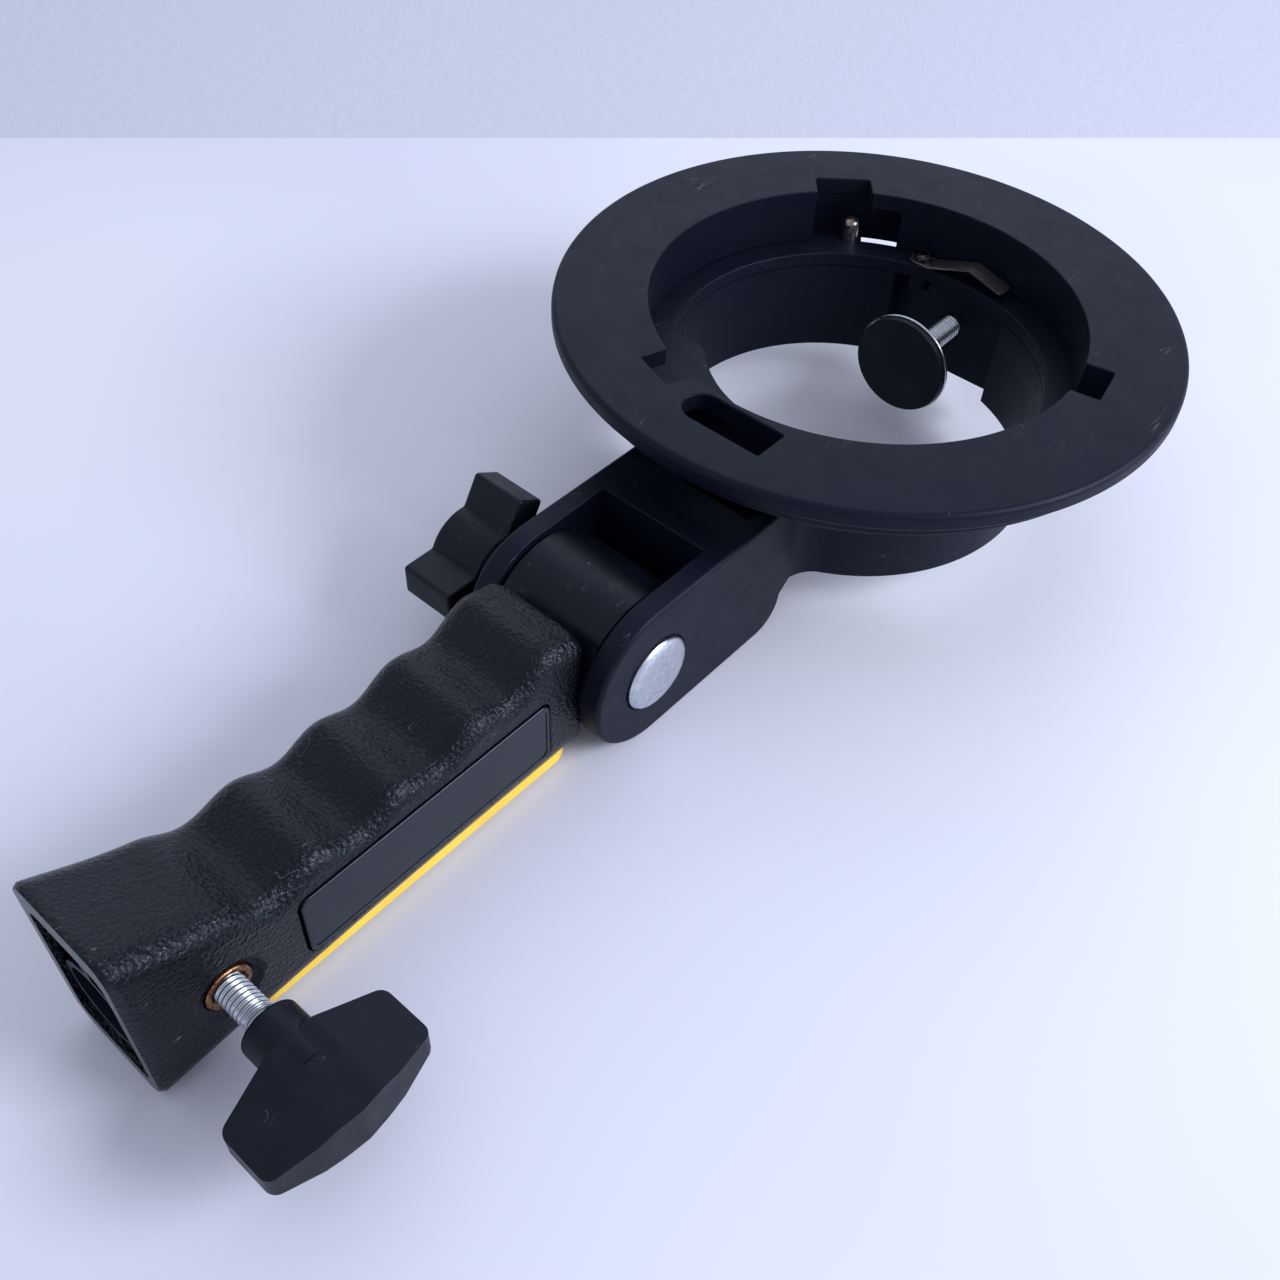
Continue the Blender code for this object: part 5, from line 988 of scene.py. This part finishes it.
# --- Tilt joint ---
# A carriage bolt with a flat zinc-plated head goes through both cheeks and the handle's knuckle.
# Rubber washers grip the knuckle, and a three-winged nylon knob with a brass nut clamps it all.
washer_low, washer_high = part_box("tilt_washer_right")
tilt_middle = (0.0, (washer_low.y + washer_high.y) / 2.0, (washer_low.z + washer_high.z) / 2.0)
from_tilt = Matrix.Translation(tilt_middle) @ Matrix.Scale(mm, 4)
seat = sink_floor + 0.3
crown = seat + 2.2
bolt_radius = 4.0
lobe_radius = 17.0
lobe_half = 3.8
lobe_hub = 9.6
wing_foot = 24.4
wing_top = 38.4
wing_edge = 0.7
hub_foot = 21.0
hub_radius = 9.0
knob_nut_flats = 13.1
knob_nut_top = 28.1
bolt_room_top = 31.9
profile = [(0.6, crown), (4.4, crown - 0.07), (6.8, crown - 0.24), (7.7, crown - 0.5), (8.3, crown - 0.85)]
profile += [(8.6, crown - 1.3), (8.6, seat + 0.15), (8.45, seat), (bolt_radius, seat), (bolt_radius, -31.2)]
square = oblong(-bolt_radius, -bolt_radius, bolt_radius, bolt_radius)
neck = moulded([eased(square, 0.4)], seat - 3.0, seat + 0.6)
bolt = worked(lathe(profile + [(3.6, -31.6)], 96), "UNION", [neck])
piece("tilt_carriage_bolt", bolt, from_tilt @ z_to_x, bright_zinc, "bracket", "zinc", "tilt_bolt")


def lobed_outline():
    """Three straight-sided wings on a round hub. The knob's X is the part's Z, and its Y the part's Y."""
    half_angle = math.asin(lobe_half / lobe_hub)
    points = []
    for degrees in (60.0, 180.0, 300.0):
        angle = math.radians(degrees)
        out = Vector((math.cos(angle), math.sin(angle)))
        side = Vector((-out.y, out.x)) * lobe_half
        points += [tuple(out * lobe_radius - side), tuple(out * lobe_radius + side)]
        points += arc(lobe_hub, angle + half_angle, angle + math.radians(120.0) - half_angle, 16)
    return [(y, x) for x, y in points]


wings = moulded([eased(lobed_outline(), 0.9)], wing_foot, wing_top, wing_edge, wing_edge)
hub = lathe([(hub_radius - 0.5, hub_foot), (hub_radius, hub_foot + 0.5), (hub_radius, hub_foot + 6.0)], 96)
tools = [moulded([hexagon(knob_nut_flats)], hub_foot - 2.0, knob_nut_top),
         round_bar(bolt_hole, hub_foot - 2.0, bolt_room_top)]
shape = worked(worked(wings, "UNION", [hub]), "DIFFERENCE", tools)
piece("tilt_wing_knob", shape, from_tilt @ Matrix.Rotation(-quarter, 4, "Y"), knob_black,
      "tilt_knob", "knob_plastic", "tilt_knob")

# --- Knuckle ---
# The smooth black drum that turns between the cheeks, one moulding with a tang that is plugged
# into the grip and screwed there. Turning has left fine scratches on it.
drum_radius = 16.6
drum_half = 13.5
drum_edge = 0.6
washer_room = 14.3
washer_depth = 1.1
tang_half = 9.0
tang_back = 11.0
tang_end = 58.0
smooth_black = plain_finish("smooth_black_nylon", (0.0024, 0.0029, 0.0056), 0.33, mirror=0.26)
vary_roughness(smooth_black, pattern(smooth_black, 5.0, (5.0, 1.0, 1.0), Detail=4.0), 0.28, 0.44)
scuffed(smooth_black, 1.7, 0.004, (0.10, 0.10, 0.115))
emboss(smooth_black, pattern(smooth_black, 0.3, Detail=2.0), 0.01)

profile = [(drum_radius - drum_edge, -drum_half), (drum_radius, drum_edge - drum_half)]
profile += [(drum_radius, drum_half - drum_edge), (drum_radius - drum_edge, drum_half)]
tang = [(-tang_half, 7.6), (-tang_half, 3.0 - tang_back), (3.0 - tang_half, -tang_back)]
tang += [(tang_half - 3.0, -tang_back), (tang_half, 3.0 - tang_back), (tang_half, 7.6)]
tang = at(moulded([eased(tang, 1.0)], 0.0, tang_end), turn=y_to_z)
shape = worked(at(lathe(profile, 192), turn=z_to_x), "UNION", [tang])
tools = [at(round_bar(bolt_hole, -20.0, 20.0), turn=z_to_x)]
for side in (-quarter, quarter):
    room = round_bar(washer_room, drum_half - washer_depth, drum_half + over)
    tools.append(at(room, turn=Matrix.Rotation(side, 4, "Y")))
shape = worked(shape, "DIFFERENCE", tools)
piece("knuckle_drum", shape, from_tilt, smooth_black, "handle", "black_plastic", "tilt_knuckle")

# --- Grip ---
# A hollow shell moulded in glossy black plastic with a leather-like grain. Four finger grooves
# follow each other at an even pitch, so a node tree sinks them into a plain lofted shell, which
# flares at its open end. Seats for the drum, plate, strip and lock are cut in it.
grip_start = 15.4
grip_length = 103.0
grip_end = grip_start + grip_length
grip_half = 13.0
grip_front = 19.3
grip_end_front = 27.3
grip_back = 15.7
grip_end_back = 16.9
front_corner = 4.5
back_corner = 8.0
end_corner = 5.5
grip_wall = 3.0
back_wall = 4.4
grip_edge = 1.2
finger_depth = 3.2
first_groove = 17.5
socket_room = 10.0
socket_end = -75.1
tang_screw_hole = 1.8
tang_screw_room = 3.0
dimple_radius = 6.2
strip_depth = 2.2
# Height of the finger side without its grooves: share of the length, share of grip_front
front_shares = [(0.0, 0.93), (0.08, 1.0), (0.27, 0.85), (0.45, 0.76), (0.63, 0.78), (0.74, 0.84)]


def front_height(place):
    """The finger side's height without its grooves."""
    share = place / grip_length
    height = grip_front * front_shares[-1][1]
    for (low, first), (high, second) in zip(front_shares, front_shares[1:]):
        if low <= share <= high:
            ease = (1.0 - math.cos(math.pi * (share - low) / (high - low))) / 2.0
            height = grip_front * (first + (second - first) * ease)
    flare = front_shares[-1][0]
    if share > flare:
        rise = (share - flare) / (1.0 - flare)
        height += (grip_end_front - height) * (1.0 - math.cos(math.pi * rise / 2.0)) ** 0.85
    return height


def to_end(first, last, place):
    """A size of the back that changes from one to the other, mostly near the open end."""
    return first + (last - first) * (place / grip_length) ** 3


def grip_section(place, front, back, half_width, front_radius, back_radius, steps, flats):
    """One section of the grip, its corners and flats set with even points."""
    corners = ((1, 1, front_radius), (-1, 1, front_radius), (-1, -1, back_radius), (1, -1, back_radius))
    rows = []
    for index, (sign_x, sign_z, radius) in enumerate(corners):
        height = front if sign_z > 0 else back
        middle = (sign_x * (half_width - radius), sign_z * (height - radius))
        rows.append(arc(radius, index * quarter, (index + 1) * quarter, steps, middle))
    points = []
    for row, after in zip(rows, rows[1:] + rows[:1]):
        points += row
        points += [tuple(Vector(row[-1]).lerp(Vector(after[0]), step / flats)) for step in range(1, flats)]
    return [(x, -(grip_start + place), z) for x, z in points]


def lofted(sections):
    """Close a stack of matching sections into one solid."""
    bm = bmesh.new()
    rows = [[bm.verts.new(point) for point in section] for section in sections]
    skin(bm, rows)
    bm.faces.new(rows[0])
    bm.faces.new(rows[-1])
    return closed_mesh(bm)


def groove_tree():
    """The node tree that sinks evenly pitched grooves in the finger side."""
    tree = Tree("finger_grooves")
    first, pitch, count = tree.sizes("First groove", "Pitch", "Count")
    depth, top = tree.sizes("Depth", "Full depth above")
    _, y, z = tree.place()
    turns = tree.math("DIVIDE", tree.math("SUBTRACT", tree.math("MULTIPLY", y, -1.0), first), pitch)
    wave = tree.math("COSINE", tree.math("MULTIPLY", turns, 2.0 * math.pi))
    wave = tree.math("MULTIPLY", tree.math("ADD", wave, 1.0), 0.5)
    after_first = tree.math("GREATER_THAN", turns, -0.5)
    before_last = tree.math("LESS_THAN", turns, tree.math("SUBTRACT", count, 0.5))
    inside = tree.math("MULTIPLY", after_first, before_last)
    finger_side = tree.node("ShaderNodeMapRange", Value=z, From_Min=0.0, From_Max=top)
    deep = tree.math("MULTIPLY", finger_side, depth)
    sunk = tree.math("MULTIPLY", tree.math("MULTIPLY", wave, inside), deep)
    drop = tree.xyz(z=tree.math("MULTIPLY", sunk, -1.0))
    start = tree.start.outputs["Geometry"]
    return tree.close(tree.node("GeometryNodeSetPosition", Geometry=start, Offset=drop))


def plate_outline(grow, corner):
    """The label plate's outline along the grip's side."""
    long, high = 30.25 + grow, 8.0 + grow
    return eased(oblong(long, high, -long, -high), corner, 10)


def strip_outline(grow):
    """The yellow strip's outline: long, with drawn-out round ends."""
    wide, long = 11.2 + grow, 42.0 + grow
    return eased(oblong(wide, long, -wide, -long), wide * 0.55, 16)


leather_black = plain_finish("leather_grained_black", (0.0006, 0.0008, 0.0022), 0.20, mirror=0.30)
creases = pattern(leather_black, 0.6, Detail=3.0, Roughness=0.6, Distortion=0.6)
emboss(leather_black, pattern(leather_black, 0.9, kind="ShaderNodeTexVoronoi", Randomness=1.0), 0.19)
emboss(leather_black, creases, 0.22)
vary_roughness(leather_black, pattern(leather_black, 12.0, Detail=3.0), 0.17, 0.25)
vary_colour(leather_black, creases, 0.55, 0.8, (0.0035, 0.0038, 0.0060))
scuffed(leather_black, 3.0, 0.003, (0.09, 0.09, 0.10))

sections = []
count = 103
for index in range(count + 1):
    place = grip_length * index / count
    from_end = min(place, grip_length - place)
    trim = grip_edge * 0.5 * (1.0 - from_end / grip_edge) ** 2 if from_end < grip_edge else 0.0
    back = to_end(grip_back, grip_end_back, place) - trim
    corner = to_end(back_corner, end_corner, place)
    sections.append(grip_section(place, front_height(place) - trim, back, grip_half - trim, front_corner,
                                 corner, 10, 8))
shell = grown(groove_tree(), lofted(sections), {
    "First groove": grip_start + first_groove, "Pitch": 19.0, "Count": 4.0, "Depth": finger_depth,
    "Full depth above": 9.0, "Finish": leather_black})
hollow = []
for place in [-over] + [grip_length * index / 20 for index in range(21)] + [grip_length + over]:
    inside = min(max(place, 0.0), grip_length)
    front = front_height(inside) - finger_depth - grip_wall
    back = to_end(grip_back, grip_end_back, inside) - back_wall
    corner = to_end(back_corner, end_corner, inside) - grip_wall
    section = grip_section(0.0, front, back, grip_half - grip_wall, grip_wall, corner, 6, 1)
    hollow.append([(x, -(grip_start + place), z) for x, _, z in section])
plate_middle = (0.0, -(grip_start + 40.25), -0.3)
strip_middle = (0.0, -(grip_start + 42.5), 0.0)
lock_y = 16.9 - grip_end
screw_spots = [-23.92, -43.94]
profile = [(4.9, -0.1), (4.9, grip_half - 0.9), (dimple_radius, grip_half - 0.5)]
dimple = lathe(profile + [(6.9, grip_half + 0.02), (6.9, grip_half + over)], 96)
recess = moulded([plate_outline(0.35, 2.4)], grip_half - 1.3, grip_half, 0.0, -0.5)
above = moulded([plate_outline(0.84, 2.8)], grip_half - slip, grip_half + over)
groove = moulded([strip_outline(0.3)], -(grip_back + over), -(grip_back - strip_depth))
tools = [lofted(hollow), at(round_bar(drum_radius + 0.3, -13.8, 13.8, 128), turn=z_to_x),
         at(round_bar(socket_room, -(grip_end + over), socket_end, 96), turn=z_to_y),
         at(recess, plate_middle, z_to_x), at(above, plate_middle, z_to_x), at(groove, strip_middle),
         at(dimple, (0.0, lock_y, 0.0), z_to_x)]
for y in screw_spots:
    tools.append(at(round_bar(tang_screw_hole, -17.0, -11.0, 32), (0.0, y, 0.0)))
    tools.append(at(round_bar(tang_screw_room, -17.0, -12.2, 40), (0.0, y, 0.0)))
shell = worked(shell, "DIFFERENCE", tools)
piece("grip_grained_shell", shell, from_tilt, leather_black,
      "handle", "grained_plastic", "grip_shell", crease=40.0)
screws("tang_screws", [(0.0, y, -12.5) for y in screw_spots], from_tilt, heads_down, screw_steel,
       (2.7, 0.7, 0.3, 2.7), (1.5, 7.3), "handle", "steel", "grip_screw_1", "grip_screw_2")

# --- Plate and strip ---
# A bare plate of glossy black acrylic with a low raised rim, stuck in a recess in the grip's
# right side, and a strip of soft yellow plastic let into its back.
piano_black = plain_finish("glossy_black_acrylic", (0.0030, 0.0033, 0.0066), 0.12, mirror=0.38)
smear = pattern(piano_black, 8.0, Detail=5.0, Roughness=0.65)
vary_roughness(piano_black, smear, 0.10, 0.24)
vary_colour(piano_black, smear, 0.45, 0.75, (0.007, 0.0074, 0.012))
emboss(piano_black, pattern(piano_black, 15.0, Detail=1.0), 0.05)

plate = moulded([plate_outline(0.0, 1.9)], grip_half - 1.0, grip_half + 0.3, 0.0, 0.35)
field = moulded([plate_outline(-0.9, 1.5)], grip_half + 0.1, grip_half + 0.3, 0.0, -0.12)
above = moulded([plate_outline(-0.79, 1.5)], grip_half + 0.29, grip_half + over)
plate = at(worked(plate, "DIFFERENCE", [field, above]), plate_middle, z_to_x)
piece("bare_label_plate", plate, from_tilt, piano_black, "handle", "gloss_black", "label_plate")

soft_yellow = plain_finish("soft_yellow_plastic", (0.95, 0.66, 0.060), 0.40)
vary_colour(soft_yellow, pattern(soft_yellow, 16.0, Detail=4.0), 0.4, 0.7, (0.88, 0.56, 0.045))
speck = pattern(soft_yellow, 0.9, Detail=3.0)
vary_roughness(soft_yellow, speck, 0.36, 0.52)
emboss(soft_yellow, speck, 0.02)
shader = soft_yellow.node_tree.nodes["Principled BSDF"].inputs
shader["Subsurface Weight"].default_value = 0.12
shader["Subsurface Radius"].default_value = (0.0012, 0.0007, 0.0002)

strip = moulded([strip_outline(0.0)], -(grip_back + 0.9), -(grip_back - strip_depth + 0.1), 0.45, 0.2)
piece("yellow_back_strip", at(strip, strip_middle), from_tilt, soft_yellow,
      "handle", "yellow_plastic", "back_strip")

# --- Stand lock ---
# A brass insert, its rim tarnished, is pressed into the grip's side in a round dimple. An M6 rod
# with a T-shaped knob runs in it and presses on the stand's spigot in the socket.
from_lock = from_tilt @ Matrix.Translation((0.0, lock_y, 0.0)) @ Matrix.Rotation(quarter, 4, "Y")
rod_low, rod_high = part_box("lock_screw")
tarnished_brass = plain_finish("tarnished_brass", (0.40, 0.21, 0.11), 0.34, 1.0)
rust = pattern(tarnished_brass, 0.7, Detail=5.0, Roughness=0.7)
patterned(tarnished_brass, rust, (0.45, 0.58), (0.07, 0.032, 0.016), (0.28, 0.6), 0.03)

profile = [(rod_bore, 8.5), (4.6, 8.5), (4.6, grip_half - 0.6), (4.4, grip_half - 0.4)]
insert = lathe(profile + [(3.6, grip_half - 0.4), (rod_bore, grip_half - 0.7)], 72, closed=True)
piece("lock_brass_insert", insert, from_lock, tarnished_brass, "handle", "brass", "lock_insert")
piece("lock_threaded_rod", rod(rod_low.x / mm, rod_high.x / mm), from_lock, bright_zinc,
      "lock_screw", "zinc", "lock_screw", crease=60.0)
piece("lock_t_knob", t_knob(grip_half + 9.5, rod_high.x / mm + 0.3), from_lock, knob_black,
      "lock_screw", "knob_plastic", "lock_knob")

# --- Small parts that keep their frame shape ---
# Washers, nuts, the saddle's rubber sheet, the stand socket and the lock's tip are right as they
# are and only get their finish.
for finish, names in (
    (tarnished_brass, ("clamp_nut", "tilt_knob_nut", "lock_tip")), (bright_zinc, ("tilt_knob_washer",)),
    (matt_rubber, ("saddle_pad", "tilt_washer_left", "tilt_washer_right")),
    (satin_black, ("stand_socket",)),
):
    for name in names:
        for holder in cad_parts[name].material_slots:
            holder.material = finish

# --- Table, wall, light and camera ---
# The bracket lies on a pale lavender table under broad soft light from the right. The rough white wall
# some way behind it is a flat sheet beyond the wall's foot, painted darker than the table as the upright
# wall's painted shade.
table_paint = plain_finish("pale_table", (0.735, 0.74, 0.785), 0.6)
vary_colour(table_paint, pattern(table_paint, 260.0, Detail=2.0), 0.35, 0.7, (0.65, 0.655, 0.745))
# Painted shade: the flat wall sheet gets the table's light, so its colour is set darker than the table's to
# stand in for the upright wall's shade.
wall_paint_with_painted_shade = plain_finish("wall_sheet_painted_shade", (0.56, 0.57, 0.65), 0.8)
emboss(wall_paint_with_painted_shade, pattern(wall_paint_with_painted_shade, 5.0, Detail=5.0, Roughness=0.6), 0.5)
table_reach = 3.0
wall_foot = Vector((-0.1553, 0.1645, 0.0))
across = Vector((0.699, 0.715, 0.0)) * table_reach
outward = Vector((-across.y, across.x, 0.0))


def sheet(name, away, finish):
    """A flat sheet that starts at the wall's foot and reaches away from it."""
    left, right = wall_foot - across, wall_foot + across
    mesh = bpy.data.meshes.new(name)
    mesh.from_pydata([left, right, right + away, left + away], [], [(0, 1, 2, 3)])
    mesh.materials.append(finish)
    shown(name, mesh)


def soft_lamp(name, place, target, width, height, power):
    """A large soft lamp that faces a point."""
    light = bpy.data.lights.new(name, "AREA")
    light.shape = "RECTANGLE"
    light.size = width
    light.size_y = height
    light.energy = power
    light.color = (0.84, 0.88, 1.0)
    made = shown(name, light)
    made.location = place
    made.rotation_euler = (Vector(target) - Vector(place)).to_track_quat("-Z", "Y").to_euler()


sheet("wall", outward, wall_paint_with_painted_shade)
sheet("table", -outward, table_paint)
soft_lamp("window_right", (0.84, 0.38, 0.60), (0.0, -0.05, 0.0), 0.52, 0.42, 12.0)
soft_lamp("window_back", (-0.62, 0.80, 0.85), (0.0, 0.0, 0.0), 1.3, 0.8, 3.0)
world = bpy.data.worlds.new("pale_room")
world.use_nodes = True
world.node_tree.nodes["Background"].inputs["Color"].default_value = (0.79, 0.84, 1.0, 1.0)
world.node_tree.nodes["Background"].inputs["Strength"].default_value = 0.76
bpy.context.scene.world = world

lens = bpy.data.cameras.new("camera")
lens.lens = 37.316
lens.sensor_width = 36.0
lens.clip_start = 0.01
forward = Vector((-0.423, 0.525, -0.738)).normalized()
right = Vector((0.7504, 0.6589, 0.0386)).normalized()
up = right.cross(forward).normalized()
right = forward.cross(up).normalized()
camera = shown("camera", lens)
turned = Matrix((right, up, -forward)).transposed().to_4x4()
camera.matrix_world = Matrix.Translation((0.1281, -0.1713, 0.2228)) @ turned
bpy.context.scene.camera = camera
bpy.context.scene.view_settings.view_transform = "Standard"
